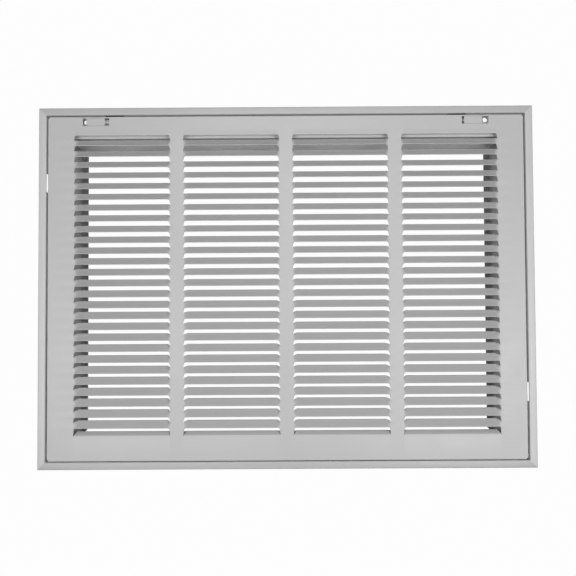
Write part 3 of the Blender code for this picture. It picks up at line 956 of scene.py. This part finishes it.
@dataclass
class LouvredDoor:
    """The stamped door: plate, four columns of twisted blades and turned-back edges."""

    sizes: GrilleSizes
    paint: bpy.types.Material
    column_width: float = 111.1 * MM
    mullion: float = 13.85 * MM
    side_margin: float = 27.5 * MM
    pitch: float = 12.41 * MM
    top_margin: float = 22.1 * MM
    bottom_margin: float = 28.0 * MM
    tilt: float = math.radians(46.0)
    lip_tilt: float = math.radians(40.0)
    axis_above_cut: float = 2.0 * MM
    blade_sag: float = 0.2 * MM
    neck: float = 6.7 * MM
    twist_length: float = 3.9 * MM
    rise_power: float = 1.5
    tab_length: float = 2.6 * MM
    tab_waist: float = 1.3 * MM
    tab_foot: float = 0.3 * MM
    tab_foot_height: float = 0.5 * MM
    tab_blend: float = 3.2 * MM
    lance: float = 0.5 * MM
    last_blade: float = 8.6 * MM
    last_tilt: float = math.radians(58.0)
    last_fold: float = 0.6 * MM
    last_draw: float = 2.9 * MM
    lip_forward: float = 0.6 * MM
    bend: float = 0.65 * MM
    bend_steps: int = 4
    corner_notch: float = 0.7 * MM
    pin_block: float = 2.15 * MM

    def __post_init__(self) -> None:
        """Count the columns and rows that fit the door, and space a blade's grid lines.

        The stations lie in from a column's edge, the folds up from a blade's lower edge, and each
        fold leans by its share between the lip's tilt and the blade's.
        """
        s = self.sizes
        room = 2 * (s.door_half - self.side_margin) + self.mullion
        self.columns = int(room / (self.column_width + self.mullion))
        self.half_field = (self.columns * (self.column_width + self.mullion) - self.mullion) / 2
        self.field_top = s.door_top - self.top_margin
        lowest = s.door_bottom + self.bottom_margin + self.last_blade
        self.rows = int((self.field_top - lowest) / self.pitch) + 1
        self.stations = np.array([0, 0.45, 1.3, 1.9, 2.6, 3.4, 4.4, 5.6]) * MM
        self.folds = np.array([0, 0.35, 0.6, 0.85]) * MM
        self.fold_shares = np.array([0.0, 0.33, 0.67])

    def spans(self) -> np.ndarray:
        """Distances of a column's grid lines from its left edge, in order across it."""
        half = self.column_width / 2
        return np.concatenate([self.stations, [half], 2 * half - self.stations[::-1]])

    def lefts(self) -> np.ndarray:
        """Return the left edge of each column."""
        return -self.half_field + np.arange(self.columns) * (self.column_width + self.mullion)

    def cuts(self) -> np.ndarray:
        """Heights of the lanced lines along the tops of the openings."""
        return self.field_top - np.arange(self.rows) * self.pitch

    def share(self, distance: np.ndarray) -> np.ndarray:
        """Share of the full twist at a distance in from the column's edge."""
        return smooth(distance / self.twist_length)

    def blade_top(self, distance: np.ndarray) -> np.ndarray:
        """Work out the length of blade above its lower edge.

        It is neck + (full - neck) (distance / twist length) to the power of the rise.

        Args:
            distance: Distances of the stations from the nearer column edge.

        Returns:
            The length at each station.
        """
        full = self.pitch - self.lance
        rise = np.clip(distance / self.twist_length, 0.0, 1.0) ** self.rise_power
        return self.neck + (full - self.neck) * rise

    def blade_section(self, distance: np.ndarray) -> tuple[np.ndarray, np.ndarray]:
        """Work out a blade's section at each distance from the column's edge.

        The section runs up from the lower edge: folds that lean from the lip's tilt towards the
        full tilt, then the blade through the twist axis, all times the twist's share there. On
        the blade depth is above sin(tilt) and height is above cos(tilt), where above is the
        length from the axis, and it sags back by 4 sag rise (1 - rise). Each fold adds its
        length times the sine and cosine of its lean.

        Args:
            distance: Distances of the stations from the nearer column edge.

        Returns:
            Depth behind the plate's middle and height above the cut, both levels by stations.
        """
        share = self.share(distance)[None, :]
        tilt = self.tilt * share
        lean = share * (self.lip_tilt + (self.tilt - self.lip_tilt) * self.fold_shares[:, None])
        top = self.blade_top(distance)[None, :]
        rise = np.array([[0.0], [1 / 3], [2 / 3], [1.0]])
        length = self.folds[-1] + (top - self.folds[-1]) * rise
        above = length - self.axis_above_cut
        sag = 4 * self.blade_sag * share * rise * (1 - rise)
        depth = above * np.sin(tilt) + sag * np.cos(tilt)
        height = self.axis_above_cut + above * np.cos(tilt) - sag * np.sin(tilt)
        step = np.diff(self.folds)[:, None]
        down = np.cumsum((step * np.sin(lean))[::-1], axis=0)[::-1]
        drop = np.cumsum((step * np.cos(lean))[::-1], axis=0)[::-1]
        return (np.concatenate([depth[:1] - down, depth]),
                np.concatenate([height[:1] - drop, height]))

    def flat_levels(self) -> np.ndarray:
        """Heights above a cut of the levels down a column's edge, over one pitch."""
        neck = self.folds[-1] + (self.neck - self.folds[-1]) * np.array([1 / 3, 2 / 3, 1.0])
        return np.concatenate([self.folds, neck])

    def tab_line(self, top: float) -> tuple[np.ndarray, np.ndarray]:
        """Outline the plate beside an opening's end: a narrow foot, a waist and a round corner.

        Args:
            top: Height of the opening, from the neck's upper end to the cut.

        Returns:
            Drop below the cut and width from the column's edge, from the foot up.
        """
        turn = np.radians([0, 30, 60, 90])
        radius = self.tab_length - self.tab_waist
        drop = np.concatenate([[top, top - self.tab_foot_height, top / 2 + radius / 2],
                               radius - radius * np.sin(turn)])
        width = np.concatenate([[0, self.tab_foot, (self.tab_foot + self.tab_waist) / 2],
                                self.tab_length - radius * np.cos(turn)])
        return drop, width

    def tab_grid(self, top: float, forward: np.ndarray, height: np.ndarray) -> np.ndarray:
        """Fill the plate beside an opening's end, blended into the lower edge above it.

        Args:
            top: Height of the opening, from the neck's upper end to the cut.
            forward: Depth of the edge above at the stations along the tab.
            height: Height of that edge above its cut at those stations.

        Returns:
            Array of levels by stations of distance, depth and height above the cut.
        """
        drop, width = self.tab_line(top)
        share = self.stations[self.stations <= self.tab_length + WELD] / self.tab_length
        weight = smooth(1 - drop / self.tab_blend)[:, None]
        distance = width[:, None] * share[None, :]
        ease = smooth(width / self.tab_length)[:, None] ** 0.5
        depth = weight * ease * forward[None, :]
        rise = -drop[:, None] + weight * ease * height[None, :]
        return np.stack([distance, depth, rise], axis=-1)

    def placed(self, across: np.ndarray, depth: np.ndarray, height: np.ndarray) -> np.ndarray:
        """Gather world points from X, depth behind the plate's middle, and Z."""
        s = self.sizes
        return np.stack(np.broadcast_arrays(across, s.plate + depth - s.centre, height), axis=-1)

    def blades(self, sheet: FormedSheet) -> None:
        """Add every full blade and the tabs beside the openings.

        Args:
            sheet: The sheet being gathered.
        """
        span = self.spans()
        distance = np.minimum(span, self.column_width - span)
        depth, height = self.blade_section(distance)
        left = self.lefts()[:, None, None, None]
        root = self.cuts()[1:][None, :, None, None]
        sheet.grids(self.placed(left + span[None, None, None, :], depth[None, None],
                                root + height[None, None]))
        lower = self.stations <= self.tab_length + WELD
        edge = (depth[0, :len(self.stations)][lower], height[0, :len(self.stations)][lower])
        first = (self.top_lip(0.0) * self.share(self.stations[lower]),
                 np.zeros(lower.sum()))
        cuts = self.cuts()
        opening = self.pitch - self.neck
        for cut, top, above in ((cuts[1:-1], opening, edge), (cuts[:1], opening, first),
                                (cuts[-1:], self.last_blade, edge)):
            tab = self.tab_grid(top, *above)
            for side in (1, -1):
                start = self.lefts() if side > 0 else self.lefts() + self.column_width
                grid = self.placed(start[:, None, None, None] + side * tab[None, None, :, :, 0],
                                   tab[None, None, :, :, 1],
                                   cut[None, :, None, None] + tab[None, None, :, :, 2])
                sheet.grids(grid if side > 0 else grid[:, :, :, ::-1])

    def top_lip(self, above: float | np.ndarray) -> float | np.ndarray:
        """How far the plate's edge above the first opening is pressed, at a height above it."""
        return -self.lip_forward * (1 - smooth(np.asarray(above) / self.neck))

    def last_blades(self, sheet: FormedSheet) -> None:
        """Add the short last blades, bent back along their whole lower edges.

        Each line up the blade lies sum(step cos(lean)) above the root and sum(step sin(lean))
        behind the plate, and near the ends it draws in by its share of the blade's length.

        Args:
            sheet: The sheet being gathered.
        """
        span = self.spans()[1:-1]
        rest = self.last_blade / 2 - self.last_fold
        step = np.array([0, self.last_fold, self.last_fold, rest, rest])
        lean = self.last_tilt * np.array([0, 0.25, 0.65, 1.0, 1.0])
        depth = np.cumsum(step * np.sin(lean))
        height = np.cumsum(step * np.cos(lean))
        run = np.cumsum(step) / self.last_blade
        distance = np.minimum(span, self.column_width - span)
        nearness = (self.twist_length - distance) / (self.twist_length - self.stations[1])
        draw = self.last_draw * run[:, None] * np.clip(nearness, 0, 1)[None, :]
        side = np.where(span < self.column_width / 2, 1.0, -1.0)
        across = span[None, :] + side[None, :] * draw
        root = self.cuts()[-1] - self.last_blade
        sheet.grids(self.placed(self.lefts()[:, None, None] + across[None],
                                depth[None, :, None], root + height[None, :, None]))

    def edge_heights(self) -> np.ndarray:
        """Gather the heights of every level down the columns' edges.

        Returns:
            The heights from the last blade's root up.
        """
        cuts = self.cuts()
        tab = self.tab_line(self.pitch - self.neck)[0]
        last = self.tab_line(self.last_blade)[0]
        levels = (cuts[1:][:, None] + self.flat_levels()[None, :]).ravel()
        tabs = (cuts[:-1][:, None] - tab[None, 1:-1]).ravel()
        low = cuts[-1] - last[:-1]
        return np.sort(np.concatenate([levels, tabs, low, cuts[:1]]))

    def plate(self, sheet: FormedSheet) -> None:
        """Add the flat plate: margins, mullions, turned-back edges and latch windows.

        Args:
            sheet: The sheet being gathered.
        """
        s = self.sizes
        flat = s.sheet / 2 + self.bend
        side_line = s.door_half - flat
        top_line = s.door_top - flat
        bottom_line = s.door_bottom + flat
        column_lines = (self.lefts()[:, None] + self.spans()[None, :]).ravel()
        outer = [side_line - self.corner_notch, side_line]
        window = [side * s.latch + reach * s.window_width / 2 for side in (-1, 1)
                  for reach in (-1, 1)]
        window_top = s.door_top - s.window_from_top
        window_bottom = window_top - s.window_height
        across_low = np.sort(np.concatenate([column_lines, outer, [-x for x in outer]]))
        across_top = np.sort(np.concatenate([across_low, window]))
        root = self.cuts()[-1] - self.last_blade
        pin = punched_block(s.hinge, self.pin_block)
        low = np.array(sorted([bottom_line, bottom_line + self.corner_notch, *pin, root]))
        high = np.array(sorted([*(self.field_top + self.flat_levels()),
                                window_bottom, top_line - self.corner_notch,
                                window_top, top_line]))
        keep = self.cells(across_low, low)
        keep[0, [0, -1]] = False
        sheet.grid(self.placed(across_low[None, :], np.zeros(1), low[:, None]), keep)
        keep = self.cells(across_top, high)
        middle_x = (across_top[1:] + across_top[:-1]) / 2
        middle_z = (high[1:] + high[:-1]) / 2
        in_window = np.abs(np.abs(middle_x) - s.latch) < s.window_width / 2
        in_height = (middle_z < window_top) & (middle_z > window_bottom)
        keep[np.ix_(in_height, in_window)] = False
        keep[np.ix_(middle_z > top_line - self.corner_notch,
                    np.abs(middle_x) > side_line - self.corner_notch)] = False
        span = across_top[None, :] - self.lefts()[:, None]
        distance = np.minimum(span, self.column_width - span).max(axis=0)
        pressed = self.share(distance)[None, :] * self.top_lip(high - self.field_top)[:, None]
        sheet.grid(self.placed(across_top[None, :], pressed, high[:, None]), keep)
        heights = self.edge_heights()
        edges = [np.array([-side_line, -outer[0], self.lefts()[0]])]
        for left in self.lefts()[:-1]:
            start = left + self.column_width
            edges.append(np.array([start, start + self.mullion]))
        edges.append(-edges[0][::-1])
        for edge in edges:
            sheet.grid(self.placed(edge[None, :], np.zeros(1), heights[:, None]))
        self.turned_edges(sheet, across_low, across_top, low, heights, high)

    @staticmethod
    def cells(across: np.ndarray, height: np.ndarray) -> np.ndarray:
        """Return a mask that keeps every cell between these lines."""
        return np.ones((len(height) - 1, len(across) - 1), dtype=bool)

    def edge_profile(self) -> tuple[np.ndarray, np.ndarray]:
        """Work out the turned edge's section: a quarter bend and a straight leg.

        Returns:
            Distance out from the flat plate's limit and depth behind the plate's middle.
        """
        s = self.sizes
        turn = np.linspace(0, math.pi / 2, self.bend_steps + 1)
        legs = np.array(punched_block(s.pin_depth, self.pin_block))
        legs[-1] = min(legs[-1], s.door_back - s.rim)
        tail = np.concatenate([legs, [s.door_back]]) - s.plate
        out = np.concatenate([self.bend * np.sin(turn), np.full(len(tail), self.bend)])
        depth = np.concatenate([self.bend * (1 - np.cos(turn)), tail])
        order = np.argsort(depth, kind="stable")
        return out[order], depth[order]

    def turned_edges(self, sheet: FormedSheet, across_low: np.ndarray, across_top: np.ndarray,
                     low: np.ndarray, heights: np.ndarray, high: np.ndarray) -> None:
        """Add the four turned-back edges, which stop short of the corners.

        Args:
            sheet: The sheet being gathered.
            across_low: Grid lines along the lower edge.
            across_top: Grid lines along the upper edge.
            low: Heights of the lower margin's grid lines.
            heights: Heights of the grid lines beside the louvres.
            high: Heights of the upper margin's grid lines.
        """
        s = self.sizes
        flat = s.sheet / 2 + self.bend
        out, depth = self.edge_profile()
        for across, line, way in ((across_low[1:-1], s.door_bottom + flat, -1),
                                  (across_top[1:-1], s.door_top - flat, 1)):
            grid = self.placed(across[None, :], depth[:, None], (line + way * out)[:, None])
            sheet.grid(grid if way > 0 else grid[::-1])
        whole = np.unique(np.concatenate([low[1:], heights, high[:-1]]).round(9))
        upright = whole[whole <= s.door_top - flat - self.corner_notch + WELD]
        for way in (-1, 1):
            side = way * (s.door_half - flat + out)
            points = self.placed(side[None, :], depth[None, :], upright[:, None])
            keep = np.ones((len(upright) - 1, len(out) - 1), dtype=bool)
            rows = lines_near(upright, s.hinge, self.pin_block)
            # The bend may end on the hole's first line, so the hole's five are the last five.
            columns = lines_near(s.plate + depth, s.pin_depth, self.pin_block)[-5:]
            keep[rows[0]:rows[-1], columns[0]:columns[-1]] = False
            edge = FormedSheet()
            edge.grid(points, keep)
            edge.round_hole(points[np.ix_(rows, columns)], s.pin_hole / 2)
            sheet.join(edge, way < 0)

    def build(self) -> bpy.types.Object:
        """Build the door.

        Returns:
            The door's sheet.
        """
        sheet = FormedSheet()
        self.blades(sheet)
        self.last_blades(sheet)
        self.plate(sheet)
        solid, quads = sheet.solid(self.sizes.sheet, self.sizes.rim)
        item = fresh_mesh("door_sheet", solid, quads, self.paint)
        return dress(item, "door_panel", Body.DOOR)


@dataclass
class Latch:
    """One latch: the slide in its window and the guide behind it."""

    sizes: GrilleSizes
    side: Side
    rest_shift: float
    paint: bpy.types.Material
    # Lightened coat: painted light on the guide in its shaded recess.
    inner_paint: bpy.types.Material
    field_top: float
    pad_width: float = 21.4 * MM
    pad_clearance: float = 0.2 * MM
    stroke_end: float = 0.2 * MM
    tongue_reach: float = 7.5 * MM
    bend: float = 0.9 * MM
    bend_steps: int = 5
    above_louvres: float = 2.2 * MM
    rear_leg: float = 5.5 * MM
    past_centre: float = 6.0 * MM
    end_round: float = 1.2 * MM
    end_draw: float = 0.36 * MM

    @property
    def pad_top(self) -> float:
        """Height of the pad's upper edge."""
        return self.sizes.door_top - self.sizes.window_from_top - self.pad_clearance

    @property
    def pad_bottom(self) -> float:
        """Height of the pad's lower edge."""
        return self.pad_top - self.sizes.window_height + 2 * self.pad_clearance

    def slide(self) -> bpy.types.Object:
        """Build the slide: a pad in the window and a tongue behind, folded from one strip.

        Returns:
            The slide.
        """
        s = self.sizes
        half = s.sheet / 2
        outer = self.pad_width / 2 - half
        tongue = s.tongue_front + half
        corners = [(self.pad_width / 2, s.plate), (-outer, s.plate), (-outer, tongue),
                   (self.tongue_reach, tongue)]
        path = bent_path(corners, self.bend, self.bend_steps,
                         {0: [self.end_round], 2: [outer + self.tongue_reach - self.end_round]})
        middle = (self.pad_top + self.pad_bottom) / 2
        height = (self.pad_top - self.pad_bottom) / 2
        line = np.array([-height, -height + self.end_round, height - self.end_round, height])
        shift = self.side.value * (s.latch - self.rest_shift)
        along = np.broadcast_to(path[:, 0][None, :], (len(line), len(path))).copy()
        along[[0, -1], 0] -= self.end_draw
        along[[0, -1], -1] -= self.end_draw
        points = np.stack(np.broadcast_arrays(shift - self.side.value * along,
                                              path[None, :, 1] - s.centre,
                                              middle + line[:, None]), axis=-1)
        sheet = FormedSheet()
        sheet.grid(points if self.side is Side.LEFT else points[::-1])
        item = fresh_mesh(f"latch_slide_{self.side.word}_strip", *sheet.solid(s.sheet, s.rim),
                          self.paint)
        body = Body.LATCH_LEFT if self.side is Side.LEFT else Body.LATCH_RIGHT
        return dress(item, f"latch_slide_{self.side.word}", body)

    def guide(self) -> bpy.types.Object:
        """Build the hook-shaped guide behind the window.

        Returns:
            The guide.
        """
        s = self.sizes
        half = s.sheet / 2
        front = s.door_recess + s.sheet + s.seat_gap + half
        back = s.tongue_front - s.seat_gap - half
        top = self.pad_top - s.seat_gap - half
        corners = [(front, self.field_top + self.above_louvres), (front, top), (back, top),
                   (back, top - self.rear_leg)]
        stroke = (s.window_width - self.pad_width) / 2 - self.stroke_end
        outer = self.pad_width / 2 - s.sheet - stroke - s.seat_gap
        middle = self.side.value * (s.latch + (outer - self.past_centre) / 2)
        item = folded_strip(f"latch_guide_{self.side.word}_hook",
                            bent_path(corners, self.bend, self.bend_steps), middle,
                            (outer + self.past_centre) / 2, s, self.inner_paint)
        return dress(item, f"latch_guide_{self.side.word}", Body.DOOR)


@dataclass
class HingePin:
    """One headed pin, turned about X."""

    sizes: GrilleSizes
    side: Side
    plate: bpy.types.Material
    diameter: float = 3.0 * MM
    head_diameter: float = 4.2 * MM
    head: float = 1.0 * MM
    past_wall: float = 2.2 * MM
    segments: int = 40
    edge: float = 0.2 * MM

    def build(self) -> bpy.types.Object:
        """Carry the pin's profile of length and radius round the axis.

        Returns:
            The pin.
        """
        s = self.sizes
        start = s.door_half - s.sheet - s.seat_gap - self.head
        length = s.width / 2 - s.face + s.sheet + self.past_wall - start
        big, small = self.head_diameter / 2, self.diameter / 2
        head = [(0, 0), (0, big - self.edge), (self.edge, big), (self.head - self.edge, big),
                (self.head, big - self.edge), (self.head, small)]
        round_tip = [(length - small / 3, small), (length - small / 9, small * 0.88),
                     (length, small * 2 / 3), (length, 0)]
        profile = np.array(head + round_tip)
        turn = np.linspace(0, 2 * math.pi, self.segments + 1)
        turn[-1] = 0
        x = self.side.value * (start + profile[:, 0])
        points = np.stack(np.broadcast_arrays(
            x[None, :], s.pin_depth - s.centre + profile[None, :, 1] * np.cos(turn)[:, None],
            s.hinge + profile[None, :, 1] * np.sin(turn)[:, None]), axis=-1)
        sheet = FormedSheet()
        sheet.grid(points if self.side is Side.LEFT else points[::-1])
        welded, quads = sheet.welded()
        item = fresh_mesh(f"hinge_pin_{self.side.word}_turned", welded, quads, self.plate)
        return dress(item, f"hinge_pin_{self.side.word}", Body.DOOR)


@dataclass
class Studio:
    """A pale floor far below, a white surround, soft lamps in front and the camera."""

    camera_place: tuple[float, float, float] = (0.00316, -0.74877, -0.065)
    camera_turn: tuple[float, float, float] = (91.5971, 0.3160, 0.1315)
    lens: float = 39.616
    shift_y: float = 0.0659
    background: float = 0.984
    ambient: float = 0.04
    lamp_size: tuple[float, float] = (0.50, 0.40)
    lamps: tuple[tuple[str, tuple[float, float, float], float], ...] = (
        ("left_lamp", (-0.45, -0.95, -0.14), 3.3),
        ("right_lamp", (0.50, -0.95, -0.14), 4.3),
        ("top_lamp", (0.0, -1.0, 0.40), 2.8),
    )
    floor_height: float = -0.95
    floor_reach: float = 1.45
    floor_colour: tuple[float, float, float, float] = (0.8, 0.8, 0.8, 1.0)
    floor_roughness: float = 0.9
    floor_glow: float = 0.5

    def camera(self) -> None:
        """Place the camera where the photograph's corners fit the frame's corners."""
        data = bpy.data.cameras.new("camera")
        data.lens = self.lens
        data.sensor_width = 36.0
        data.shift_y = self.shift_y
        data.clip_start = 0.01
        item = bpy.data.objects.new("camera", data)
        item.location = self.camera_place
        item.rotation_euler = [math.radians(angle) for angle in self.camera_turn]
        bpy.context.scene.collection.objects.link(item)
        bpy.context.scene.camera = item

    def lamp(self, name: str, place: tuple[float, float, float], power: float) -> None:
        """Add a soft rectangular lamp that faces the grille's middle.

        Args:
            name: Name of the lamp.
            place: Where it stands.
            power: Its power in watts.
        """
        data = bpy.data.lights.new(name, "AREA")
        data.shape = "RECTANGLE"
        data.size, data.size_y = self.lamp_size
        data.energy = power
        item = bpy.data.objects.new(name, data)
        item.location = place
        x, y, z = (-v for v in place)
        item.rotation_euler = (math.atan2(math.hypot(x, y), -z), 0, math.atan2(-x, y))
        bpy.context.scene.collection.objects.link(item)

    def world(self) -> None:
        """Show plain white to the camera and light the object evenly and faintly."""
        world = bpy.data.worlds.new("surround")
        world.use_nodes = True
        wiring = NodeWiring(world.node_tree)
        back = wiring.tree.nodes["Background"]
        path = wiring.add("ShaderNodeLightPath")
        mirrored = wiring.add("ShaderNodeMath", operation="MAXIMUM")
        wiring.link(path.outputs["Is Glossy Ray"], mirrored.inputs[0])
        wiring.link(path.outputs["Is Transmission Ray"], mirrored.inputs[1])
        seen = wiring.add("ShaderNodeMath", operation="MAXIMUM")
        wiring.link(path.outputs["Is Camera Ray"], seen.inputs[0])
        wiring.link(mirrored.outputs[0], seen.inputs[1])
        level = wiring.spread(seen.outputs[0], self.ambient, self.background, 0.0, 1.0)
        wiring.link(level, back.inputs["Strength"])
        back.inputs["Color"].default_value = (1, 1, 1, 1)
        bpy.context.scene.world = world

    def floor(self) -> None:
        """Lay a plain pale floor below the grille."""
        sheet = NodeSheet("pale_floor")
        sheet.shader.inputs["Base Color"].default_value = self.floor_colour
        sheet.shader.inputs["Roughness"].default_value = self.floor_roughness
        sheet.shader.inputs["Emission Color"].default_value = (1, 1, 1, 1)
        path = sheet.add("ShaderNodeLightPath")
        glow = sheet.spread(path.outputs["Is Camera Ray"], 0.0, self.floor_glow, 0.0, 1.0)
        sheet.link(glow, sheet.shader.inputs["Emission Strength"])
        line = np.linspace(-self.floor_reach, self.floor_reach, 3)
        points = np.stack(np.broadcast_arrays(line[None, :], line[:, None], self.floor_height), -1)
        item = fresh_mesh("floor", points.reshape(-1, 3), grid_quads(3, 3), sheet.material)

    def build(self) -> None:
        """Set up the studio."""
        self.camera()
        self.world()
        self.floor()
        for name, place, power in self.lamps:
            self.lamp(name, place, power)
        bpy.context.scene.view_settings.view_transform = "Standard"


def main() -> None:
    """Build every piece in order."""
    logging.basicConfig(level=logging.INFO, format="%(name)s %(message)s")
    sizes = GrilleSizes()
    # Painted light and shade on the top and bottom rails along their depth: the inner wall
    # lightened up to 1.4 times from 2 mm to 10.5 mm deep (painted light), a painted shadow of the
    # door's plate that darkens the collar to 0.3 from 12.4 mm deep behind the ledge's bend, and the
    # collar's deep part lightened 3.7 times from 30 mm to 40 mm deep (painted light).
    frame_painted_shading = (Fade("Y", -28.0 * MM, -19.5 * MM, 1.4), Fade("Y", -19.3 * MM, -17.6 * MM, 0.3),
                   Fade("Y", 0.0, 10.0 * MM, 3.7))
    frame_coat_painted_shading = PowderCoat("frame_powder_coat", (0.53, 0.53, 0.53), painted_shading=frame_painted_shading).make()
    # Painted shade: the side rails' coat darkens to 0.55 from 13 mm to 22 mm deep, for the shade
    # that the louvres cast on the side collars.
    side_coat_painted_shade = PowderCoat("side_powder_coat", (0.64, 0.64, 0.64),
                           painted_shading=(Fade("Y", -17.0 * MM, -8.0 * MM, 0.55),)).make()
    door_coat = PowderCoat("door_powder_coat", (0.57, 0.57, 0.57)).make()
    # Painted light: the inner coat is lightened to 0.74 so that the guides and corner keys look lit
    # in their shaded recesses.
    inner_coat_painted_light = PowderCoat("inner_powder_coat", (0.74, 0.74, 0.74), roughness=0.46).make()
    # Painted light and shade on the keepers: the coat is lightened to 0.84 as painted light for
    # their shaded faces in the windows, and above 195.6 mm it is darkened to 0.08 as painted shade,
    # for the shade in the top rail's slots.
    keeper_coat_painted_shading = PowderCoat("keeper_powder_coat", (0.84, 0.84, 0.84), roughness=0.46,
                             painted_shading=(Fade("Z", 194.9 * MM, 195.6 * MM, 0.08),)).make()
    zinc = ZincPlate().make()
    wall_frame = WallFrame(sizes, frame_coat_painted_shading, side_coat_painted_shade, inner_coat_painted_light, keeper_coat_painted_shading)
    wall_frame.rails()
    wall_frame.keys()
    wall_frame.keepers()
    door = LouvredDoor(sizes, door_coat)
    door.build()
    for side, shift in ((Side.LEFT, -0.7 * MM), (Side.RIGHT, 2.0 * MM)):
        latch = Latch(sizes, side, shift, door_coat, inner_coat_painted_light, door.field_top)
        latch.slide()
        latch.guide()
        HingePin(sizes, side, zinc).build()
    Studio().build()


if __name__ == "__main__":
    main()
